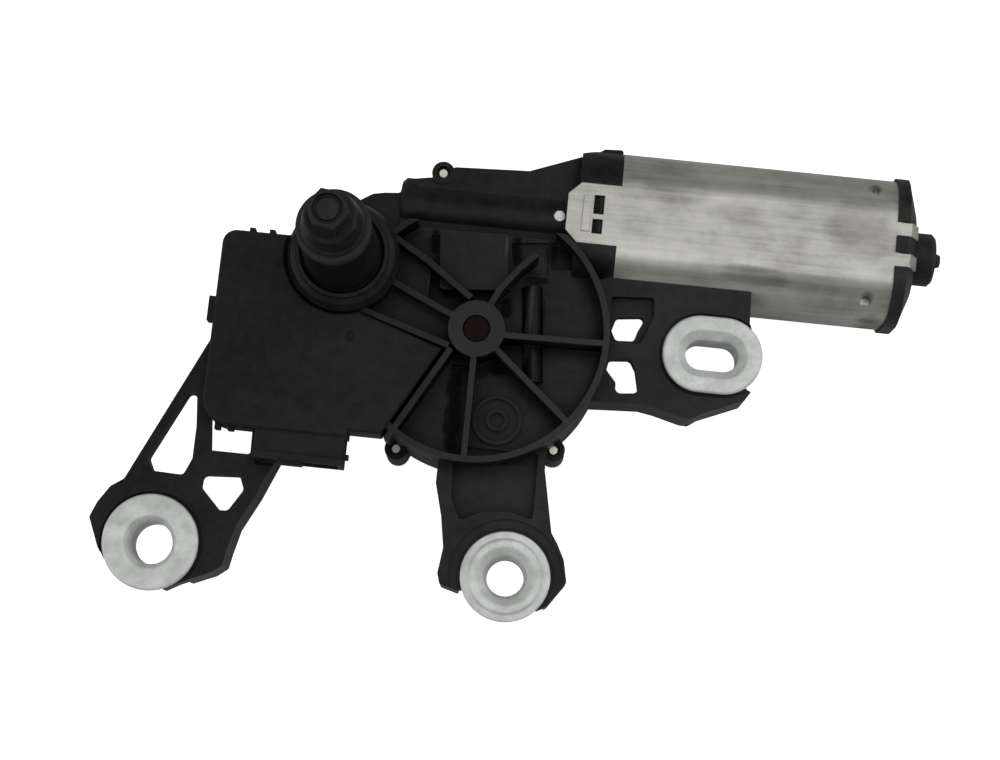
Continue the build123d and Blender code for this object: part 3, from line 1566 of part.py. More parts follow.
with BuildPart() as spindle_seal:
    turned(
        0,
        0,
        [
            (spindle_radius + running_gap, neck_top_z),
            (neck_top_radius, neck_top_z),
            (neck_top_radius, neck_top_z + 2.4),
            (neck_top_radius - 0.4, neck_top_z + 3.1),
            (neck_top_radius - 2.0, seal_top_z - 0.4),
            (neck_top_radius - 3.0, seal_top_z),
            (spindle_radius + 0.8, seal_top_z),
            (spindle_radius + running_gap, seal_top_z - 0.8),
        ],
    )
finish(spindle_seal, "spindle_seal")

cap_skirt_radius = 8.8
cap_low_z = seal_top_z + 0.5
with BuildPart() as spindle_cap:
    turned(
        0,
        0,
        [
            (0, cap_low_z),
            (cap_skirt_radius, cap_low_z),
            (cap_skirt_radius, cap_low_z + 0.8),
            (cap_skirt_radius - 0.5, cap_low_z + 1.8),
            (7.3, cap_hex_z - 0.6),
            (6.8, cap_hex_z),
            (0, cap_hex_z),
        ],
    )
    with BuildSketch(Plane.XY.offset(cap_hex_z - 1)) as hexagon:
        RegularPolygon(cap_across / 2, 6, major_radius=False, rotation=cap_turn)
    extrude(hexagon.sketch, amount=cap_top_z - cap_hex_z + 1)
    chamfer(spindle_cap.faces().sort_by(Axis.Z)[-1].edges(), 0.4)
    turned(
        0,
        0,
        [
            (3.0, cap_top_z + 1),
            (3.0, cap_top_z - 1.6),
            (4.2, cap_top_z - 1.6),
            (4.2, cap_top_z + 1),
        ],
        mode=Mode.SUBTRACT,
    )
    disc(0, 0, cap_top_z - 0.5, cap_top_z + 1, 3.5, mode=Mode.SUBTRACT)
    turned(
        0,
        0,
        [
            (0, cap_low_z - 1),
            (spindle_radius + 0.35, cap_low_z - 1),
            (spindle_radius + 0.35, taper_z + 1),
            (spindle_end_radius + 0.35, thread_z + 0.6),
            (spindle_end_radius + running_gap, thread_z + 1),
            (spindle_end_radius + running_gap, spindle_tip_z + 0.3),
            (0, spindle_tip_z + 0.3),
        ],
        mode=Mode.SUBTRACT,
    )
finish(spindle_cap, "spindle_cap")

# Mounting bushes and their rubber grommets
groove_high_z = foot_recess_z
bush_low_z = -bush_length


def round_bush(centre, flange, bore, mouth):
    """Flanged spool: the list gives the front face's profile from the rim inwards."""
    tube = bore + tube_wall
    turned(
        *centre,
        [
            (flange, -flange_thickness),
            (tube, -flange_thickness),
            (tube, bush_low_z + flange_thickness),
            (flange - 1.6, bush_low_z + flange_thickness),
            (flange - 1.6, bush_low_z),
            (bore, bush_low_z),
        ]
        + mouth,
    )


def round_grommet(centre, flange, bore, hole):
    tube = bore + tube_wall
    turned(
        *centre,
        [
            (tube, -flange_thickness),
            (flange - 1.4, -flange_thickness),
            (flange - 1.4, groove_high_z),
            (hole, groove_high_z),
            (hole, fork_low_z),
            (flange - 1.4, fork_low_z),
            (flange - 1.4, bush_low_z + flange_thickness),
            (tube, bush_low_z + flange_thickness),
        ],
    )


with BuildPart() as left_bush:
    round_bush(
        left_foot,
        left_flange_radius,
        left_bore_radius,
        [
            (left_bore_radius, -3.2),
            (left_bore_radius + 0.5, -1.4),
            (left_bore_radius + 1.5, 0),
            (left_flange_radius - 0.5, 0),
            (left_flange_radius, -0.5),
        ],
    )
finish(left_bush, "left_bush")

with BuildPart() as lower_bush:
    round_bush(
        lower_foot,
        lower_flange_radius,
        lower_bore_radius,
        [
            (lower_bore_radius, -4.0),
            (lower_bore_radius + 0.7, -2.2),
            (lower_bore_radius + 2.2, -0.8),
            (lower_bore_radius + 3.0, -0.1),
            (lower_bore_radius + 4.0, 0),
            (lower_bore_radius + 5.0, -0.1),
            (lower_flange_radius - 1.8, -0.6),
            (lower_flange_radius - 0.3, -0.6),
            (lower_flange_radius, -0.9),
        ],
    )
finish(lower_bush, "lower_bush")


def stadium(low, high, width, height, mode=Mode.ADD):
    with BuildSketch(Plane.XY.offset(low)) as outline:
        with Locations(right_foot):
            SlotOverall(width, height)
    extrude(outline.sketch, amount=high - low, mode=mode)


slot_tube = (slot_hole[0] + 2 * tube_wall, slot_hole[1] + 2 * tube_wall)
with BuildPart() as right_bush:
    stadium(-flange_thickness, 0, *slot_flange)
    chamfer(right_bush.faces().sort_by(Axis.Z)[-1].edges(), 0.5)
    stadium(bush_low_z, -flange_thickness, *slot_tube)
    stadium(bush_low_z, bush_low_z + flange_thickness, slot_flange[0] - 3.2, slot_flange[1] - 3.2)
    stadium(bush_low_z, 0, *slot_hole, mode=Mode.SUBTRACT)
    for level, grow in ((-2.6, 0.0), (0, 5.2)):
        with BuildSketch(Plane.XY.offset(level)):
            with Locations(right_foot):
                SlotOverall(slot_hole[0] + grow, slot_hole[1] + grow)
    loft(mode=Mode.SUBTRACT)
finish(right_bush, "right_bush")

with BuildPart() as left_grommet:
    round_grommet(left_foot, left_flange_radius, left_bore_radius, grommet_hole)
finish(left_grommet, "left_grommet")

with BuildPart() as lower_grommet:
    round_grommet(lower_foot, lower_flange_radius, lower_bore_radius, grommet_hole - 0.7)
finish(lower_grommet, "lower_grommet")

with BuildPart() as right_grommet:
    lip = (slot_flange[0] - 2.8, slot_flange[1] - 2.8)
    stadium(groove_high_z, -flange_thickness, *lip)
    stadium(fork_low_z, groove_high_z, *slot_groove)
    stadium(bush_low_z + flange_thickness, fork_low_z, *lip)
    stadium(bush_low_z + flange_thickness, -flange_thickness, *slot_tube, mode=Mode.SUBTRACT)
finish(right_grommet, "right_grommet")
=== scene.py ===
"""Dresses the rear-window wiper motor: finishes, turned and rolled surfaces, studio and camera."""

import json
import math

import bpy
import numpy as np
from mathutils import Matrix, Vector


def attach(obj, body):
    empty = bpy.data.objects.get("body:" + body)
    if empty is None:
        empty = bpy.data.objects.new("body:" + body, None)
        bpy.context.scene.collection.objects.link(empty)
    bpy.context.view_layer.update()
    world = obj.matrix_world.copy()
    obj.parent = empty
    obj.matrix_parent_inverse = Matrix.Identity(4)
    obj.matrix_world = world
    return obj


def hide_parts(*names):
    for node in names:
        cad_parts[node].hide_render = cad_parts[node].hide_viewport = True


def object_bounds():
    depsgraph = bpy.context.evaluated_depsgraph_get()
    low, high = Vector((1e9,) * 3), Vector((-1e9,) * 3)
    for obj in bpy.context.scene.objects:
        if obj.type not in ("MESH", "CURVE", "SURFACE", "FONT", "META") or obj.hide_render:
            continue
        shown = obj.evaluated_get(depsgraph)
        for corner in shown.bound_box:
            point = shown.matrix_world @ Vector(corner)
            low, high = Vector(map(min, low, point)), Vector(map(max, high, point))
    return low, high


bl_info = {
    "name": "Wiper motor dressing",
    "version": (1, 0, 0),
    "blender": (4, 5, 0),
    "location": "3D View > Sidebar > Wiper motor",
    "description": "Finishes and fine surfaces of a rear-window wiper motor",
    "category": "Object",
}

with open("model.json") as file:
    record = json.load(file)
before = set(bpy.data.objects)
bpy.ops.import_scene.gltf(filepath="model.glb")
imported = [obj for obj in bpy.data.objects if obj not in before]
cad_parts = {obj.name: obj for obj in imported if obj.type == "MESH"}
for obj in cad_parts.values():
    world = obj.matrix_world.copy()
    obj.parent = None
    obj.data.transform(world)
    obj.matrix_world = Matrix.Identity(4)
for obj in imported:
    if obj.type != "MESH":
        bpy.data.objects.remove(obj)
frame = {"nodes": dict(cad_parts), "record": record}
CAD_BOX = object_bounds()
MM = 0.001

# Points of an outline closer than this, in mm, are one point
SAME_POINT = 1e-4

# Mounting bushes, in mm: thickness of flanges and tube, and how much smaller the rear flange is
BUSH_PLATE, BUSH_TUBE, BUSH_STEP = 1.6, 2.1, 1.6

# Thread on the spindle's end, in mm
THREAD_RADIUS, THREAD_DEPTH = 3.95, 0.05
THREAD_LOW, THREAD_HIGH = 55.9, 62.6

# Browned end of the wheel axle, in metres: its radius, how deep it shows and how far its limits are blurred
AXLE_END_RADIUS, AXLE_END_DEPTH, AXLE_END_BLUR = 0.0046, 0.0059, 0.0001

# Heights in the casting's finish, in metres, for the painted shade patches, the painted highlight on the rib
# tops and the painted highlight patches. Each pair: where the effect starts and where it is full
SHADE_PATCH_HEIGHTS = (0.0, -0.002)
RIB_LOW_HEIGHTS, RIB_HIGH_HEIGHTS = (0.0058, 0.0063), (0.0100, 0.0095)
HIGHLIGHT_HEIGHTS = (0.003, 0.0025)
RAGGEDNESS = 1.6                # of the edge of a patch, in squared reaches

# Stage, in metres and watts
WHITE = (1, 1, 1, 1)
FLOOR_REACH, FLOOR_GAP = 3.0, 0.0001
FLOOR_COLOUR = (0.7, 0.7, 0.7, 1)
FLOOR_GLOW = 0.93               # added for the camera alone
AMBIENT = 0.19                  # world light on the object
LAMPS = (
    # name, place, point aimed at, size and power
    ("key", (0.15, -0.04, 1.05), (0.08, 0.0, 0), (0.9, 0.16), 2.0),
    ("overhead", (0.12, 0.22, 1.05), (0.06, 0.0, 0), (1.0, 0.18), 0.9),
    ("fill", (-0.70, -0.30, 0.80), (0.0, -0.03, 0), (0.5, 0.5), 1.5),
    ("rim", (0.75, 0.55, 0.60), (0.05, 0.0, 0), (0.6, 0.6), 1.4),
    ("low_left", (-0.85, -0.05, 0.30), (0.0, -0.02, 0), (0.8, 0.3), 1.5),
    ("low_right", (0.95, 0.0, 0.30), (0.06, 0.0, 0), (0.8, 0.3), 1.5),
    ("low_front", (0.05, -0.90, 0.30), (0.05, -0.02, 0), (0.9, 0.3), 0.5),
    ("low_back", (0.05, 0.90, 0.30), (0.05, 0.0, 0), (0.9, 0.3), 0.4),
)

# Camera: place and target in metres, roll, focal length and photograph's width in pixels, sensor in mm
CAMERA_PLACE = Vector((0.05849, -0.12649, 0.61237))
CAMERA_TARGET = Vector((0.04852, -0.03001, 0.0))
CAMERA_ROLL = math.radians(5.9)
FOCAL_PIXELS, PHOTO_WIDTH, SENSOR_WIDTH = 2139, 1000, 36


# Surfaces

def put_mesh(name, points, faces):
    """Object whose mesh holds the given points and four-sided or three-sided faces."""
    mesh = bpy.data.meshes.new(name)
    points = np.asarray(points, np.float64).reshape(-1, 3)
    mesh.vertices.add(len(points))
    mesh.vertices.foreach_set("co", points.astype(np.float32).ravel())
    corners = np.concatenate([np.asarray(f, np.int32).ravel() for f in faces])
    sizes = np.concatenate([np.full(len(f), np.asarray(f).shape[1], np.int32) for f in faces])
    mesh.loops.add(len(corners))
    mesh.loops.foreach_set("vertex_index", corners)
    mesh.polygons.add(len(sizes))
    mesh.polygons.foreach_set("loop_start", np.concatenate([[0], np.cumsum(sizes)[:-1]]).astype(np.int32))
    mesh.update(calc_edges=True)
    mesh.validate()
    piece = bpy.data.objects.new(name, mesh)
    bpy.context.scene.collection.objects.link(piece)
    return piece


def grid_faces(rows, columns, close_rows):
    """Indices of the quads of a grid: each row is a closed loop, and the last row may join the first."""
    u = np.arange(rows if close_rows else rows - 1)
    a, b = np.meshgrid(u, np.arange(columns), indexing="ij")
    a2, b2 = (a + 1) % rows, (b + 1) % columns
    quads = np.stack([a * columns + b, a2 * columns + b, a2 * columns + b2, a * columns + b2], axis=-1)
    return quads.reshape(-1, 4)


def face_out(piece):
    """Turns every face outwards and shades the piece smooth, with edges over 35 degrees kept sharp."""
    bpy.context.view_layer.objects.active = piece
    for other in bpy.context.selected_objects:
        other.select_set(False)
    piece.select_set(True)
    bpy.ops.object.mode_set(mode="EDIT")
    bpy.ops.mesh.select_all(action="SELECT")
    bpy.ops.mesh.remove_doubles(threshold=1e-7)
    bpy.ops.mesh.normals_make_consistent(inside=False)
    bpy.ops.object.mode_set(mode="OBJECT")
    piece.data.shade_smooth()
    piece.data.set_sharp_from_angle(angle=math.radians(35))
    piece.select_set(False)
    return piece


def rounded(corners, radii, steps=6):
    """Closed polyline through the corners, with each corner replaced by an arc of its own radius.

    The arc runs between the points at radius / tan(half the angle) along the two sides, and never past the
    middle of a side. It is the rational quadratic curve of these points and the corner, whose weight,
    sin(half the angle), makes it a circle's.
    """
    corners = np.asarray(corners, float)
    before, after = np.roll(corners, 1, axis=0), np.roll(corners, -1, axis=0)
    to_before, to_after = before - corners, after - corners
    reach = np.minimum(np.linalg.norm(to_before, axis=1), np.linalg.norm(to_after, axis=1))
    to_before /= np.linalg.norm(to_before, axis=1, keepdims=True)
    to_after /= np.linalg.norm(to_after, axis=1, keepdims=True)
    half = np.arccos(np.clip((to_before * to_after).sum(1), -1, 1)) / 2
    cut = np.minimum(np.asarray(radii, float) / np.maximum(np.tan(half), 1e-6), 0.48 * reach)
    cut = np.where(half > math.radians(89.5), 0, cut)[:, None]
    start, end = corners + to_before * cut, corners + to_after * cut
    t = np.linspace(0, 1, steps)[None, :, None]
    weight = np.maximum(np.sin(half), 0.2)[:, None, None]
    top = (1 - t) ** 2 * start[:, None] + 2 * weight * t * (1 - t) * corners[:, None] + t**2 * end[:, None]
    curve = (top / ((1 - t) ** 2 + 2 * weight * t * (1 - t) + t**2)).reshape(-1, 2)
    step = np.linalg.norm(np.diff(curve, axis=0, prepend=curve[-1:]), axis=1)
    keep = step > SAME_POINT
    keep[0] = True
    return curve[keep]


def lathe(name, profile, centre, turns=160):
    """Closed profile of (radius, height) carried round a vertical axis.

    Point (u, v) is centre + r(u) (cos v, sin v) at height z(u).
    """
    angle = np.linspace(0, 2 * math.pi, turns, endpoint=False)
    radius, height = np.repeat(profile[:, :1], turns, 1), np.repeat(profile[:, 1:], turns, 1)
    x = centre[0] + radius * np.cos(angle)
    y = centre[1] + radius * np.sin(angle)
    points = np.stack([x, y, height], axis=-1) * MM
    return face_out(put_mesh(name, points, [grid_faces(len(profile), turns, True)]))


def stadium_lathe(name, profile, centre, straight, turns=160):
    """Closed profile of (offset, height) carried round a stadium with its straights along X.

    The path's point at angle v is the circle's point of that angle, moved along X by half the straight
    towards its own side. The offset is measured outwards from the two centres.
    """
    angle = (np.arange(turns) + 0.5) * 2 * math.pi / turns
    side = np.where(np.cos(angle) > 0, 1.0, -1.0) * straight / 2
    x = centre[0] + side + profile[:, :1] * np.cos(angle)
    y = centre[1] + profile[:, :1] * np.sin(angle)
    height = np.repeat(profile[:, 1:], turns, 1)
    points = np.stack([x, y, height], axis=-1) * MM
    return face_out(put_mesh(name, points, [grid_faces(len(profile), turns, True)]))


def thread_ridge(name, radius, depth, pitch, low, high):
    """Vee ridge wound round the spindle's end: point (u, v) is at angle 2 pi u and height low + pitch u.

    The ridge's section is a triangle whose height fades to nothing over the first and last turn.
    """
    turns = (high - low) / pitch
    u = np.linspace(0, turns, int(48 * turns))[:, None]
    fade = np.clip(np.minimum(u, turns - u) * 2, 0.02, 1)
    out = radius + np.array([[-0.25, -0.25, depth * 0.9, depth * 0.9]]) * fade
    rise = low + pitch * u + np.array([[0.38, -0.38, -0.06, 0.06]]) * pitch
    points = np.stack([out * np.cos(2 * math.pi * u), out * np.sin(2 * math.pi * u), rise], axis=-1) * MM
    count = len(u)
    caps = [[0, 1, 2, 3], [4 * count - 1, 4 * count - 2, 4 * count - 3, 4 * count - 4]]
    return face_out(put_mesh(name, points, [grid_faces(count, 4, False), np.array(caps)]))


# Shader arithmetic

class Signal:
    """A shader value: Python arithmetic on it adds Math nodes."""

    def __init__(self, tree, socket):
        self.tree, self.socket = tree, socket

    def math(self, operation, *others):
        """Math node with this value as its first input and the others, values or numbers, after it."""
        node = self.tree.nodes.new("ShaderNodeMath")
        node.operation = operation
        for place, value in enumerate((self, *others)):
            if isinstance(value, Signal):
                self.tree.links.new(value.socket, node.inputs[place])
            else:
                node.inputs[place].default_value = value
        return Signal(self.tree, node.outputs[0])

    def swapped(self, operation, first):
        """Math node with a number as its first input and this value as its second."""
        node = self.tree.nodes.new("ShaderNodeMath")
        node.operation = operation
        node.inputs[0].default_value = first
        self.tree.links.new(self.socket, node.inputs[1])
        return Signal(self.tree, node.outputs[0])

    def __add__(self, other):
        return self.math("ADD", other)

    __radd__ = __add__

    def __sub__(self, other):
        return self.math("SUBTRACT", other)

    def __rsub__(self, other):
        return self.swapped("SUBTRACT", other)

    def __mul__(self, other):
        return self.math("MULTIPLY", other)

    __rmul__ = __mul__

    def clamp(self):
        return self.math("MINIMUM", 1.0).math("MAXIMUM", 0.0)

    def steep(self, start, full):
        """0 up to start, 1 from full on and a straight line between them, rising or falling."""
        return ((self - start) * (1 / (full - start))).clamp()


def add_node(tree, kind, settings=None, **values):
    """Adds a node, applies its settings, then sets or links its sockets, by name or as i0, i1 and so on."""
    node = tree.nodes.new(kind)
    for key, value in (settings or {}).items():
        setattr(node, key, value)
    for key, value in values.items():
        socket = node.inputs[int(key[1:]) if key[1:].isdigit() else key.replace("_", " ")]
        if isinstance(value, Signal):
            tree.links.new(value.socket, socket)
        else:
            socket.default_value = value
    return node


def shade(colour, factor, lift=0.0):
    """The colour made lighter or darker by a factor, and lifted by a little grey."""
    return [min(1, v * factor + lift) for v in colour]


class Recipe:
    """One material: a Principled shader and the nodes that feed it."""

    def __init__(self, name, roughness=0.5, metallic=0.0, **constants):
        self.material = bpy.data.materials.new(name)
        self.material.use_nodes = True
        self.tree = self.material.node_tree
        self.tree.nodes.clear()
        self.shader = self.tree.nodes.new("ShaderNodeBsdfPrincipled")
        self.output = self.tree.nodes.new("ShaderNodeOutputMaterial")
        self.tree.links.new(self.shader.outputs["BSDF"], self.output.inputs["Surface"])
        self.shader.inputs["Roughness"].default_value = roughness
        self.shader.inputs["Metallic"].default_value = metallic
        for key, value in constants.items():
            self.shader.inputs[key.replace("_", " ")].default_value = value

    def node(self, kind, settings=None, **values):
        return add_node(self.tree, kind, settings, **values)

    def place(self):
        return Signal(self.tree, self.node("ShaderNodeTexCoord").outputs["Object"])

    def axis(self, which):
        """One coordinate of the point in metres: 0, 1 or 2."""
        split = self.node("ShaderNodeSeparateXYZ", Vector=self.place())
        return Signal(self.tree, split.outputs[which])

    def stretched(self, scale):
        """The point with each coordinate multiplied."""
        node = self.node("ShaderNodeVectorMath", {"operation": "MULTIPLY"}, i0=self.place(), i1=scale)
        return Signal(self.tree, node.outputs[0])

    def noise(self, scale, detail=3.0, roughness=0.5, stretch=None):
        """Noise between 0 and 1, with its scale in waves per metre."""
        vector = self.stretched(stretch) if stretch else self.place()
        node = self.node("ShaderNodeTexNoise", Vector=vector, Scale=scale, Detail=detail, Roughness=roughness)
        return Signal(self.tree, node.outputs[0])

    def cells(self, scale):
        """Distance to the nearest cell point."""
        node = self.node("ShaderNodeTexVoronoi", Vector=self.place(), Scale=scale)
        return Signal(self.tree, node.outputs["Distance"])

    def mix(self, factor, first, second):
        """Colour between two colours, by a factor from 0 to 1."""
        node = self.node("ShaderNodeMix", {"data_type": "RGBA"})
        self.tree.links.new(factor.socket, node.inputs[0])
        for socket, value in ((node.inputs[6], first), (node.inputs[7], second)):
            if isinstance(value, Signal):
                self.tree.links.new(value.socket, socket)
            else:
                socket.default_value = (*value[:3], 1)
        return Signal(self.tree, node.outputs[2])

    def feed(self, socket, value):
        self.tree.links.new(value.socket, self.shader.inputs[socket])

    def bump(self, height, distance, strength=1.0, round_edges=0.0):
        """Relief of the given height in metres; round_edges softens the part's edges by that radius."""
        bump = self.node("ShaderNodeBump", Height=height, Distance=distance, Strength=strength)
        if round_edges:
            soft = self.node("ShaderNodeBevel", {"samples": 6}, Radius=round_edges)
            self.tree.links.new(soft.outputs[0], bump.inputs["Normal"])
        self.tree.links.new(bump.outputs[0], self.shader.inputs["Normal"])

    def patches(self, rows, ragged, depth=0.9):
        """Strongest of the elliptical patches at the point.

        A patch is 1 less the squared distance from its centre in reaches, with a ragged edge. It is full
        where that passes depth.
        """
        x, y = self.axis(0), self.axis(1)
        most = None
        for centre_x, centre_y, reach_x, reach_y, strength in rows:
            across = (x - centre_x * MM) * (1 / (reach_x * MM))
            along = (y - centre_y * MM) * (1 / (reach_y * MM))
            inside = 1.0 - (across * across + along * along) + (ragged - 0.5) * RAGGEDNESS
            one = inside.steep(0.0, depth) * strength
            most = one if most is None else most.math("MAXIMUM", one)
        return most

    def recess_shade(self, reach):
        """Painted shade: near 1 deep in corners and grooves, from how much open space is within reach."""
        settings = {"samples": 6, "only_local": True}
        open_space = self.node("ShaderNodeAmbientOcclusion", settings, Distance=reach)
        return (1.0 - Signal(self.tree, open_space.outputs["AO"])).steep(0.15, 0.7)

    def wear(self, radius):
        """Near 1 along outer edges, from how far a softened normal leaves the true one."""
        soft = self.node("ShaderNodeBevel", {"samples": 4}, Radius=radius)
        true = self.node("ShaderNodeNewGeometry")
        dot = self.node("ShaderNodeVectorMath", {"operation": "DOT_PRODUCT"})
        self.tree.links.new(soft.outputs[0], dot.inputs[0])
        self.tree.links.new(true.outputs["Normal"], dot.inputs[1])
        return (1.0 - Signal(self.tree, dot.outputs["Value"])).steep(0.02, 0.25)


# Settings

class WiperSizes(bpy.types.PropertyGroup):
    bush_round: bpy.props.FloatProperty(
        name="Bush rounding", description="Radius on the mounting bushes' edges", default=0.0005,
        min=0.0001, max=0.0008, subtype="DISTANCE", unit="LENGTH",
    )
    seal_round: bpy.props.FloatProperty(
        name="Seal rounding", description="Radius on the spindle seal's lip", default=0.0016,
        min=0.0002, max=0.0025, subtype="DISTANCE", unit="LENGTH",
    )
    thread_pitch: bpy.props.FloatProperty(
        name="Thread pitch", description="Pitch of the thread on the spindle's end", default=0.00125,
        min=0.0005, max=0.002, subtype="DISTANCE", unit="LENGTH",
    )
    casting_edge: bpy.props.FloatProperty(
        name="Casting edge", description="Softening of the casting's edges", default=0.0006,
        min=0.0, max=0.002, subtype="DISTANCE", unit="LENGTH",
    )
    grain: bpy.props.FloatProperty(
        name="Casting grain", description="Height of the casting's grain", default=0.00003,
        min=0.0, max=0.0002, subtype="DISTANCE", unit="LENGTH",
    )


def colour_property(name, description, default):
    return bpy.props.FloatVectorProperty(
        name=name, description=description, default=default, size=3, min=0.0, max=1.0, subtype="COLOR"
    )


class WiperColours(bpy.types.PropertyGroup):
    casting: colour_property("Casting", "Black coated casting", (0.0084, 0.0093, 0.0085))
    cover: colour_property("Cover", "Electronics cover", (0.0086, 0.0095, 0.0088))
    can: colour_property("Can", "Zinc plated motor can", (0.42, 0.42, 0.38))
    can_stain: colour_property("Can stain", "Dull patches on the can", (0.19, 0.19, 0.165))
    # Colour of the can's dark patches, painted shade in the dimples among them
    can_mark: colour_property("Can mark", "Dark stains on the can", (0.055, 0.055, 0.046))
    bell: colour_property("End bell", "Motor end bell", (0.017, 0.018, 0.018))
    bush: colour_property("Bushes", "Bare metal of the mounting bushes", (0.76, 0.78, 0.76))
    rubber: colour_property("Rubber", "Grommets and seal", (0.016, 0.016, 0.016))
    axle: colour_property("Axle end", "Browned end of the wheel axle", (0.014, 0.0095, 0.0085))
    blade: colour_property("Blades", "Connector blades", (0.72, 0.62, 0.42))


# Finishes

# Painted shade: dark patches in the deep recesses between the casting's ribs. Each row: centre x and y, reach
# along x and y, in mm, strength
CASTING_SHADE_PATCHES = (
    (32.0, -5.0, 5.0, 2.2, 0.8),
    (48.0, -8.0, 2.4, 5.2, 0.8),
    (47.5, -25.5, 4.4, 3.8, 0.9),
    (43.0, -27.5, 2.7, 2.4, 0.7),
    (35.6, -32.5, 3.0, 7.5, 0.85),
    (36.0, -44.0, 3.0, 13.0, 0.85),
    (29.5, -17.0, 4.4, 2.4, 0.7),
    (25.0, 9.0, 2.0, 4.7, 0.8),
    (49.2, 9.0, 2.4, 5.0, 0.8),
    (60.0, 10.0, 2.7, 4.7, 0.7),
    (56.0, 1.0, 4.7, 1.4, 0.7),
    (58.9, -13.5, 1.0, 13.0, 0.6),
    (22.5, 3.0, 4.0, 2.4, 0.55),
    (51.0, -53.0, 10.0, 1.4, 0.5),
)

# Painted highlights: the half-round bulge, the edge of the raised pad and the floor beside it, in the same
# rows
CASTING_HIGHLIGHTS = (
    (55.0, -13.5, 1.1, 14.0, 0.85),
    (46.5, 9.0, 0.6, 3.8, 0.6),
    (57.0, 5.5, 3.0, 3.7, 0.25),
)


def finish_casting(look, sizes):
    """Black coated die casting: orange-peel grain and cloudy gloss, painted shade in its recesses, painted
    highlights on the bulge, the pad and the rib tops, and edges lighter, partly wear and partly painted
    highlight.
    """
    recipe = Recipe("black_casting", Specular_IOR_Level=0.04, Coat_Roughness=0.38)
    cloud = recipe.noise(38.0, 4.0)
    grain = recipe.noise(1500.0, 2.0, 0.6)
    specks = recipe.noise(5200.0, 1.0)
    # Edges lighter, partly wear and partly painted highlight
    edge_wear_and_glint = recipe.wear(0.0008) * (0.45 + recipe.noise(160.0, 3.0).steep(0.35, 0.65) * 0.55)
    mottle = cloud * 0.5 + recipe.noise(330.0, 5.0, 0.68) * 0.5
    base = recipe.mix(mottle.steep(0.38, 0.64), shade(look.casting, 0.6), shade(look.casting, 1.8))
    z = recipe.axis(2)
    ragged = recipe.noise(260.0, 4.0, 0.6)
    on_floor, lit_rib_tops = z.steep(*SHADE_PATCH_HEIGHTS), z.steep(*RIB_LOW_HEIGHTS) * z.steep(*RIB_HIGH_HEIGHTS)
    # Painted shade: dark patches on the recess floors, and darkening in corners and grooves, towards a
    # near-black copy of the casting's colour
    shade_patches = (recipe.patches(CASTING_SHADE_PATCHES, ragged, 0.7) * 1.25).clamp() * on_floor
    dark = shade_patches.math("MAXIMUM", recipe.recess_shade(0.007) * 0.85)
    shaded = recipe.mix(dark, base, shade(look.casting, 0.08))
    # Painted highlights on the bulge, the pad and the rib tops, with edges lighter partly from wear and
    # partly as painted highlight
    highlit = recipe.patches(CASTING_HIGHLIGHTS, ragged, 0.7) * z.steep(*HIGHLIGHT_HEIGHTS)
    light = highlit.math("MAXIMUM", edge_wear_and_glint.math("MAXIMUM", lit_rib_tops * 0.3))
    recipe.feed("Base Color", recipe.mix(light, shaded, shade(look.casting, 3.8)))
    recipe.feed("Coat Weight", (0.16 + mottle * 0.14 + highlit * 0.5) * (1.0 - dark * 0.9))
    recipe.feed("Roughness", 0.36 + mottle * 0.2 + specks * 0.08)
    recipe.bump(grain * 0.7 + specks * 0.3, sizes.grain, 0.8, sizes.casting_edge)
    return recipe.material


def finish_moulding(name, colour, roughness, grain_scale, grain_height, edge):
    """Black moulding with spark-eroded grain, faint flow marks and dusty handling marks, painted shade in its
    corners, and edges lighter, partly wear and partly painted highlight.
    """
    recipe = Recipe(name, Specular_IOR_Level=0.16)
    flow = recipe.noise(26.0, 3.0, 0.55, (1.0, 2.4, 1.0))
    grain = recipe.noise(grain_scale, 2.0, 0.65)
    dust = recipe.noise(210.0, 4.0, 0.7).steep(0.55, 0.8)
    mottle = flow * 0.5 + recipe.noise(300.0, 5.0, 0.66) * 0.5
    base = recipe.mix(mottle.steep(0.36, 0.64), shade(colour, 0.5), shade(colour, 1.9))
    handled = recipe.mix(dust * 0.3, base, shade(colour, 1.8, 0.003))
    # Edges lighter, partly wear and partly painted highlight
    edge_wear_and_glint = recipe.wear(0.0006) * (0.3 + recipe.noise(180.0, 3.0).steep(0.35, 0.65) * 0.7)
    # Painted shade in corners and grooves
    shaded = recipe.mix(recipe.recess_shade(0.004), handled, shade(colour, 0.3))
    recipe.feed("Base Color", recipe.mix(edge_wear_and_glint * 0.8, shaded, shade(colour, 3.6)))
    recipe.feed("Roughness", roughness + mottle * 0.14 + dust * 0.1)
    recipe.bump(grain, grain_height, 0.7, edge)
    return recipe.material


# Dark patches on the can: painted shade in the two dimples, and elsewhere darker patches and a dull cloud, in
# rows of the same kind
CAN_MARKS = (
    (150.0, 25.0, 12.0, 10.5, 0.42),
    (146.5, 22.5, 6.5, 4.5, 0.50),
    (152.7, 38.2, 2.3, 2.0, 0.95),
    (152.7, 5.2, 2.2, 2.2, 0.80),
    (156.1, -2.2, 6.5, 4.0, 1.00),
    (118.0, 10.0, 9.0, 1.6, 0.55),
    (121.0, 7.8, 12.0, 2.4, 0.40),
    (112.5, 26.0, 9.0, 5.0, 0.22),
)


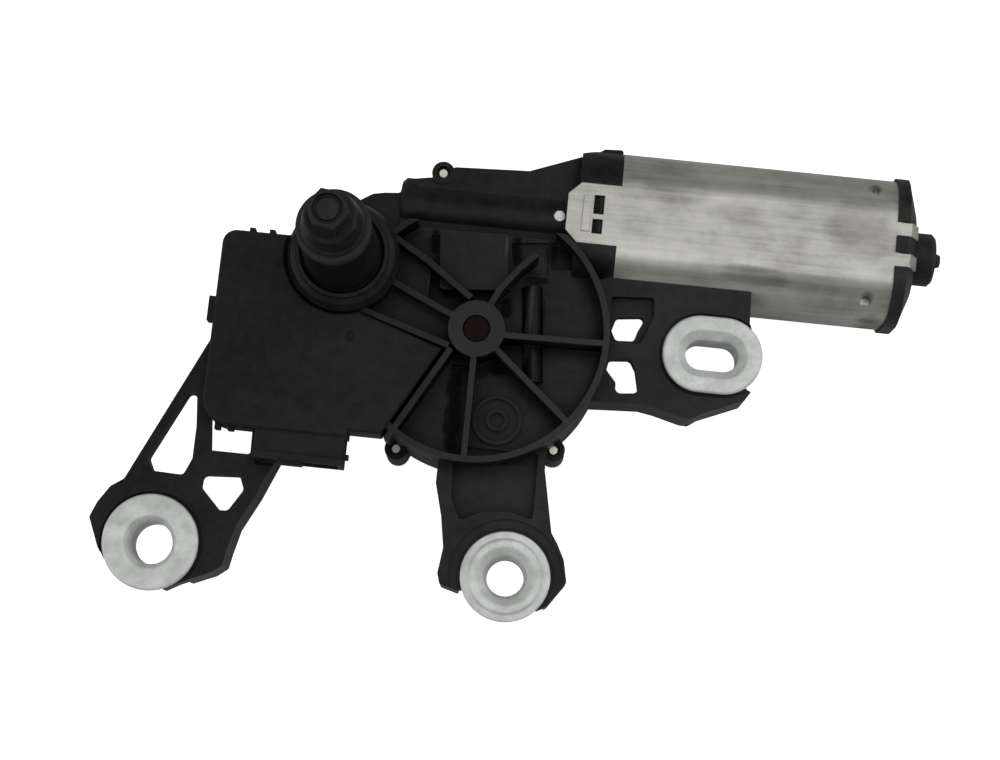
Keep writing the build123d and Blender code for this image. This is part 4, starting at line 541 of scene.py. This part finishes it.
def finish_can(look):
    """Zinc plated drawn sheet: fine draw lines along the shaft, cloudy dull patches, dark patches with
    painted shade in the dimples, and scuffs.
    """
    recipe = Recipe("can_steel", metallic=0.9)
    lines = recipe.noise(900.0, 3.0, 0.6, (0.03, 1.0, 1.0))
    fine = recipe.noise(4200.0, 2.0, 0.6, (0.05, 1.0, 1.0))
    patch = recipe.noise(46.0, 5.0, 0.62, (0.55, 1.0, 1.0))
    spangle = recipe.noise(240.0, 4.0, 0.6)
    scuff = recipe.noise(130.0, 6.0, 0.72, (0.35, 1.0, 1.0)).steep(0.6, 0.72)
    dull = (patch.steep(0.44, 0.66) * 0.75 + spangle.steep(0.45, 0.75) * 0.25).clamp()
    base = recipe.mix(dull, look.can, look.can_stain)
    bright = recipe.mix(lines.steep(0.35, 0.7) * 0.35, base, shade(look.can, 1.35))
    scuffed = recipe.mix(scuff * 0.3, bright, shade(look.can, 1.25))
    # Dark patches, painted shade in the dimples among them
    marks = recipe.patches(CAN_MARKS, recipe.noise(190.0, 5.0, 0.62, (0.6, 1.0, 1.0)))
    recipe.feed("Base Color", recipe.mix(marks, scuffed, look.can_mark))
    recipe.feed("Roughness", 0.31 + patch * 0.16 + fine * 0.08)
    recipe.bump(lines * 0.5 + fine * 0.5, 0.00001, 0.8, 0.0003)
    return recipe.material


def finish_bush(look):
    """Blasted light metal: fine dimples, faint turning rings and darker handling patches."""
    recipe = Recipe("bush_metal", metallic=0.4)
    blast = recipe.noise(2600.0, 2.0, 0.6)
    patch = recipe.noise(150.0, 4.0, 0.6)
    pits = recipe.cells(700.0).steep(0.0, 0.25)
    scale = recipe.noise(420.0, 4.0, 0.7)
    base = recipe.mix(patch.steep(0.35, 0.7), look.bush, shade(look.bush, 0.7))
    flecked = recipe.mix(scale.steep(0.5, 0.75) * 0.5, base, shade(look.bush, 0.6))
    recipe.feed("Base Color", recipe.mix((1.0 - pits) * 0.2, flecked, shade(look.bush, 0.55)))
    recipe.feed("Roughness", 0.46 + blast * 0.14)
    recipe.bump(blast * 0.7 + pits * 0.3, 0.00003, 0.8)
    return recipe.material


def finish_rubber(name, colour, roughness=0.62):
    """Moulded rubber: matt skin with a faint bloom."""
    recipe = Recipe(name, Specular_IOR_Level=0.35)
    bloom = recipe.noise(300.0, 4.0, 0.65)
    skin = recipe.noise(3200.0, 2.0)
    recipe.feed("Base Color", recipe.mix(bloom.steep(0.45, 0.8) * 0.6, colour, shade(colour, 2.4, 0.004)))
    recipe.feed("Roughness", roughness + bloom * 0.15)
    recipe.bump(skin, 0.00002, 0.7)
    return recipe.material


def finish_metal(name, colour, roughness, metallic=0.95, stretch=None, lines=1400.0):
    """Bare metal: tool marks, and a thin uneven film that dulls it in places."""
    recipe = Recipe(name, metallic=metallic)
    marks = recipe.noise(lines, 3.0, 0.6, stretch)
    film = recipe.noise(220.0, 4.0, 0.6)
    recipe.feed("Base Color", recipe.mix(film.steep(0.35, 0.8), colour, shade(colour, 0.7)))
    recipe.feed("Roughness", roughness + film * 0.16 + marks * 0.06)
    recipe.bump(marks, 0.00001, 0.8)
    return recipe.material


def finish_steel(look):
    """Bright steel, with the riveted end of the wheel axle in the front wall browned."""
    x, y, z = (float(v) for v in frame["nodes"]["wheel_axle"].matrix_world @ top_centre("wheel_axle"))
    recipe = Recipe("steel", metallic=0.95)
    marks = recipe.noise(1400.0, 3.0, 0.6)
    film = recipe.noise(220.0, 4.0, 0.6)
    across, along = recipe.axis(0) - x, recipe.axis(1) - y
    away = (across * across + along * along).math("SQRT")
    near = 1.0 - away.steep(AXLE_END_RADIUS - AXLE_END_BLUR, AXLE_END_RADIUS + AXLE_END_BLUR)
    start = z - AXLE_END_DEPTH
    browned = near * recipe.axis(2).steep(start - AXLE_END_BLUR, start + AXLE_END_BLUR)
    bright = recipe.mix(film.steep(0.35, 0.8), (0.52, 0.52, 0.50), (0.36, 0.36, 0.35))
    recipe.feed("Base Color", recipe.mix(browned, bright, look.axle))
    recipe.feed("Roughness", 0.26 + film * 0.16 + marks * 0.06 + browned * 0.25)
    recipe.bump(marks, 0.00001, 0.8)
    return recipe.material


def finish_plain(name, colour, roughness, speckle, spread=0.25):
    """Inner material with a speckled colour: moulding, ferrite, laminate or resin."""
    recipe = Recipe(name)
    spots = recipe.noise(speckle, 3.0, 0.6)
    base = recipe.mix(spots.steep(0.3, 0.7), shade(colour, 1 - spread), shade(colour, 1 + spread))
    recipe.feed("Base Color", base)
    recipe.feed("Roughness", roughness + spots * 0.12)
    recipe.bump(spots, 0.00001, 0.6)
    return recipe.material


def finish_windings():
    """Enamelled copper wire laid side by side: ripples across the shaft."""
    recipe = Recipe("copper", metallic=0.8)
    strand = (recipe.axis(0) * 9000.0).math("SINE") * 0.5 + 0.5
    varnish = recipe.noise(400.0, 3.0)
    base = recipe.mix(strand, (0.30, 0.10, 0.035), (0.62, 0.24, 0.09))
    recipe.feed("Base Color", recipe.mix(varnish * 0.4, base, (0.2, 0.07, 0.03)))
    recipe.feed("Roughness", 0.3 + varnish * 0.15)
    recipe.bump(strand, 0.0001, 0.8)
    return recipe.material


FINISH_OF = {}


def paint(node, material):
    """Gives a CAD node's material slots their finish."""
    part = frame["nodes"][node]
    if not part.material_slots:
        part.data.materials.append(material)
    for slot in part.material_slots:
        slot.material = material


def ring_sizes(node):
    """Centre, straight length, inner and outer radius, bottom and top of a round or oval ring, in mm."""
    part = frame["nodes"][node]
    points = np.empty(3 * len(part.data.vertices), np.float32)
    part.data.vertices.foreach_get("co", points)
    matrix = np.array(part.matrix_world)
    points = (points.reshape(-1, 3) @ matrix[:3, :3].T + matrix[:3, 3]) / MM
    low, high = points.min(axis=0), points.max(axis=0)
    centre = (low + high) / 2
    straight = max(0.0, float((high - low)[0] - (high - low)[1]))
    across = np.maximum(np.abs(points[:, 0] - centre[0]) - straight / 2, 0)
    reach = np.hypot(across, points[:, 1] - centre[1])
    return centre[:2], straight, float(reach.min()), float(reach.max()), float(low[2]), float(high[2])


def top_centre(node):
    """Centre of a node's top, in its own coordinates."""
    corners = np.array(frame["nodes"][node].bound_box)
    low, high = corners.min(axis=0), corners.max(axis=0)
    return Vector(((low[0] + high[0]) / 2, (low[1] + high[1]) / 2, high[2]))


def look_of(node):
    """The record's material slot of a CAD node."""
    for entry in frame["record"]["subparts"]:
        if entry["node"] == node:
            return entry["material_slot"]
    raise RuntimeError("no subpart " + node)


def bush_body(node, soft):
    """What the three bushes share: rear flange, tube and the back of the front flange, with their roundings.

    Gives centre, straight length, bore and flange radius, top, the profile's points and their radii, in mm.
    """
    centre, straight, bore, flange, low, top = ring_sizes(node)
    rear, tube = flange - BUSH_STEP, bore + BUSH_TUBE
    points = [
        (bore, low), (rear, low), (rear, low + BUSH_PLATE),
        (tube, low + BUSH_PLATE), (tube, top - BUSH_PLATE), (flange, top - BUSH_PLATE),
    ]
    return centre, straight, bore, flange, top, points, [soft, soft, soft, 0.3, 0.3, soft]


def add_piece(piece, body, slot, *nodes):
    """Rides a new piece on a body and gives it the finish of its slot."""
    piece.data.materials.append(FINISH_OF[slot])
    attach(piece, body)
    if nodes:
        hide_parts(*nodes)


# Operators

class WIPER_OT_finishes(bpy.types.Operator):
    """Makes every finish and gives each CAD part its own"""
    bl_idname = "wiper.finishes"
    bl_label = "Finishes"

    def execute(self, context):
        sizes, look = context.scene.wiper_sizes, context.scene.wiper_colours
        cap = shade(look.casting, 1.5)
        FINISH_OF.update({
            "black_casting": finish_casting(look, sizes),
            "black_cover": finish_moulding("black_cover", look.cover, 0.5, 2100.0, 0.00003, 0.0005),
            "rear_cover": finish_moulding("rear_cover", look.casting, 0.5, 1200.0, 0.00002, 0.0004),
            "bell_plastic": finish_moulding("bell_plastic", look.bell, 0.46, 1700.0, 0.00003, 0.0004),
            "cap_plastic": finish_moulding("cap_plastic", cap, 0.34, 2400.0, 0.000015, 0.0004),
            "can_steel": finish_can(look),
            "bush_metal": finish_bush(look),
            "black_rubber": finish_rubber("black_rubber", look.rubber),
            "gasket_rubber": finish_rubber("gasket_rubber", (0.03, 0.03, 0.03), 0.7),
            "steel": finish_steel(look),
            "screw_steel": finish_metal("screw_steel", (0.62, 0.61, 0.55), 0.3),
            "spring_steel": finish_metal("spring_steel", (0.4, 0.4, 0.39), 0.3, stretch=(0.1, 1.0, 1.0)),
            "pin_metal": finish_metal("pin_metal", look.blade, 0.24, stretch=(1.0, 0.08, 1.0)),
            "sinter_bronze": finish_metal("sinter_bronze", (0.45, 0.29, 0.13), 0.5, 0.85, lines=2600.0),
            "commutator_copper": finish_metal("commutator_copper", (0.72, 0.36, 0.18), 0.25),
            "capacitor_can": finish_metal("capacitor_can", (0.6, 0.6, 0.6), 0.3),
            "lamination": finish_metal(
                "lamination", (0.3, 0.3, 0.31), 0.4, stretch=(6.0, 0.2, 0.2), lines=400.0
            ),
            "copper": finish_windings(),
            "board_green": finish_plain("board_green", (0.02, 0.11, 0.04), 0.4, 320.0),
            "black_resin": finish_plain("black_resin", (0.02, 0.02, 0.02), 0.5, 1500.0),
            "ferrite": finish_plain("ferrite", (0.05, 0.05, 0.055), 0.6, 900.0),
            "card_plastic": finish_plain("card_plastic", (0.16, 0.11, 0.06), 0.55, 500.0),
            "carbon": finish_plain("carbon", (0.03, 0.03, 0.032), 0.5, 1800.0),
            "wheel_plastic": finish_plain("wheel_plastic", (0.68, 0.65, 0.55), 0.42, 90.0, 0.06),
        })
        for node in frame["nodes"]:
            paint(node, FINISH_OF[look_of(node)])
        return {"FINISHED"}


class WIPER_OT_bushes(bpy.types.Operator):
    """Turned and pressed mounting bushes with rounded rims"""
    bl_idname = "wiper.bushes"
    bl_label = "Mounting bushes"

    def execute(self, context):
        soft = context.scene.wiper_sizes.bush_round / MM
        centre, _, bore, flange, top, body, radii = bush_body("left_bush", soft)
        mouth = [(flange, top), (bore + 1.5, top), (bore + 0.5, top - 1.4), (bore, top - 3.2)]
        profile = rounded(body + mouth, radii + [soft * 1.4, 1.0, 1.2, 1.2])
        add_piece(lathe("left_bush_turned", profile, centre), "body", "bush_metal", "left_bush")

        centre, _, bore, flange, top, body, radii = bush_body("lower_bush", soft)
        mouth = [
            (flange, top - 0.7), (flange - 2.0, top - 0.62), (flange - 2.6, top),
            (bore + 2.9, top), (bore + 0.9, top - 2.0), (bore, top - 4.4),
        ]
        profile = rounded(body + mouth, radii + [soft, 0.5, 1.0, 1.6, 1.6, 1.6])
        add_piece(lathe("lower_bush_rolled", profile, centre), "body", "bush_metal", "lower_bush")

        centre, straight, bore, flange, top, body, radii = bush_body("right_bush", soft)
        mouth = [(flange, top), (bore + 2.5, top), (bore, top - 2.6)]
        profile = rounded(body + mouth, radii + [soft * 1.6, 0.9, 0.9])
        piece = stadium_lathe("right_bush_pressed", profile, centre, straight)
        add_piece(piece, "body", "bush_metal", "right_bush")
        return {"FINISHED"}


class WIPER_OT_seal(bpy.types.Operator):
    """Spindle seal with its rounded lip, and the thread on the spindle's end"""
    bl_idname = "wiper.seal"
    bl_label = "Spindle seal and thread"

    def execute(self, context):
        sizes = context.scene.wiper_sizes
        lip = sizes.seal_round / MM
        centre, _, inner, outer, low, top = ring_sizes("spindle_seal")
        profile = [
            (inner + 0.01, low), (outer, low), (outer, top - 0.9), (outer - 0.8, top - 0.5),
            (outer - 2.0, top - 0.6), (outer - 3.0, top), (inner + 0.8, top), (inner + 0.01, top - 1.0),
        ]
        profile = rounded(profile, [0.1, 0.2, lip, lip, 0.4, 0.4, 0.6, 0.5])
        add_piece(lathe("spindle_seal_lip", profile, centre), "body", "black_rubber", "spindle_seal")
        pitch = sizes.thread_pitch / MM
        ridge = thread_ridge("spindle_thread", THREAD_RADIUS, THREAD_DEPTH, pitch, THREAD_LOW, THREAD_HIGH)
        add_piece(ridge, "wiper_spindle", "steel")
        return {"FINISHED"}


class WIPER_OT_stage(bpy.types.Operator):
    """Floor, lamps, world and camera"""
    bl_idname = "wiper.stage"
    bl_label = "Stage and camera"

    def execute(self, context):
        scene = context.scene
        low, high, floor_z = -FLOOR_REACH, FLOOR_REACH, CAD_BOX[0][2] - FLOOR_GAP
        corners = [(low, low, floor_z), (high, low, floor_z), (high, high, floor_z), (low, high, floor_z)]
        floor = put_mesh("floor", corners, [np.array([[0, 1, 2, 3]])])
        recipe = Recipe("floor_white", roughness=0.9, Specular_IOR_Level=0.1, Base_Color=FLOOR_COLOUR)
        tree = recipe.tree
        seen = Signal(tree, recipe.node("ShaderNodeLightPath").outputs["Is Camera Ray"])
        glow = recipe.node("ShaderNodeEmission", Strength=seen * FLOOR_GLOW)
        both = recipe.node(
            "ShaderNodeAddShader", i0=Signal(tree, recipe.shader.outputs[0]), i1=Signal(tree, glow.outputs[0])
        )
        tree.links.new(both.outputs[0], recipe.output.inputs["Surface"])
        floor.data.materials.append(recipe.material)

        scene.world = bpy.data.worlds.new("studio")
        scene.world.use_nodes = True
        tree = scene.world.node_tree
        tree.nodes.clear()
        seen = Signal(tree, add_node(tree, "ShaderNodeLightPath").outputs["Is Camera Ray"])
        lighting = add_node(tree, "ShaderNodeBackground", Color=WHITE, Strength=AMBIENT)
        backdrop = add_node(tree, "ShaderNodeBackground", Color=WHITE, Strength=1.0)
        lighting, backdrop = Signal(tree, lighting.outputs[0]), Signal(tree, backdrop.outputs[0])
        mixed = add_node(tree, "ShaderNodeMixShader", i0=seen, i1=lighting, i2=backdrop)
        add_node(tree, "ShaderNodeOutputWorld", Surface=Signal(tree, mixed.outputs[0]))

        for name, place, aim, size, power in LAMPS:
            lamp = bpy.data.lights.new(name, "AREA")
            lamp.shape = "RECTANGLE"
            lamp.size, lamp.size_y = size
            lamp.energy = power
            holder = bpy.data.objects.new(name, lamp)
            scene.collection.objects.link(holder)
            holder.visible_camera = False
            turned = (Vector(aim) - Vector(place)).to_track_quat("-Z", "Y").to_matrix().to_4x4()
            holder.matrix_world = Matrix.Translation(place) @ turned

        back = (CAMERA_PLACE - CAMERA_TARGET).normalized()
        right = Vector((math.cos(CAMERA_ROLL), math.sin(CAMERA_ROLL), 0))
        up = back.cross(right).normalized()
        right = up.cross(back)
        camera = bpy.data.cameras.new("camera")
        camera.sensor_width = SENSOR_WIDTH
        camera.lens = FOCAL_PIXELS / PHOTO_WIDTH * SENSOR_WIDTH
        camera.clip_start = 0.01
        holder = bpy.data.objects.new("camera", camera)
        scene.collection.objects.link(holder)
        axes = Matrix((right, up, back)).transposed().to_4x4()
        holder.matrix_world = Matrix.Translation(CAMERA_PLACE) @ axes
        scene.camera = holder
        scene.view_settings.view_transform = "Standard"
        return {"FINISHED"}


class WIPER_PT_panel(bpy.types.Panel):
    """Lists the dressing steps and their settings"""
    bl_idname = "WIPER_PT_panel"
    bl_label = "Wiper motor"
    bl_space_type = "VIEW_3D"
    bl_region_type = "UI"
    bl_category = "Wiper motor"

    def draw(self, context):
        for operator in OPERATORS:
            self.layout.operator(operator.bl_idname)
        for group in (context.scene.wiper_sizes, context.scene.wiper_colours):
            for key in group.__annotations__:
                self.layout.prop(group, key)


OPERATORS = (WIPER_OT_stage, WIPER_OT_finishes, WIPER_OT_bushes, WIPER_OT_seal)
CLASSES = (WiperSizes, WiperColours, *OPERATORS, WIPER_PT_panel)


def register():
    for cls in CLASSES:
        bpy.utils.register_class(cls)
    bpy.types.Scene.wiper_sizes = bpy.props.PointerProperty(type=WiperSizes)
    bpy.types.Scene.wiper_colours = bpy.props.PointerProperty(type=WiperColours)


def unregister():
    del bpy.types.Scene.wiper_colours
    del bpy.types.Scene.wiper_sizes
    for cls in reversed(CLASSES):
        bpy.utils.unregister_class(cls)


def main():
    register()
    bpy.ops.wiper.stage()
    bpy.ops.wiper.finishes()
    bpy.ops.wiper.bushes()
    bpy.ops.wiper.seal()


if __name__ == "__main__":
    main()
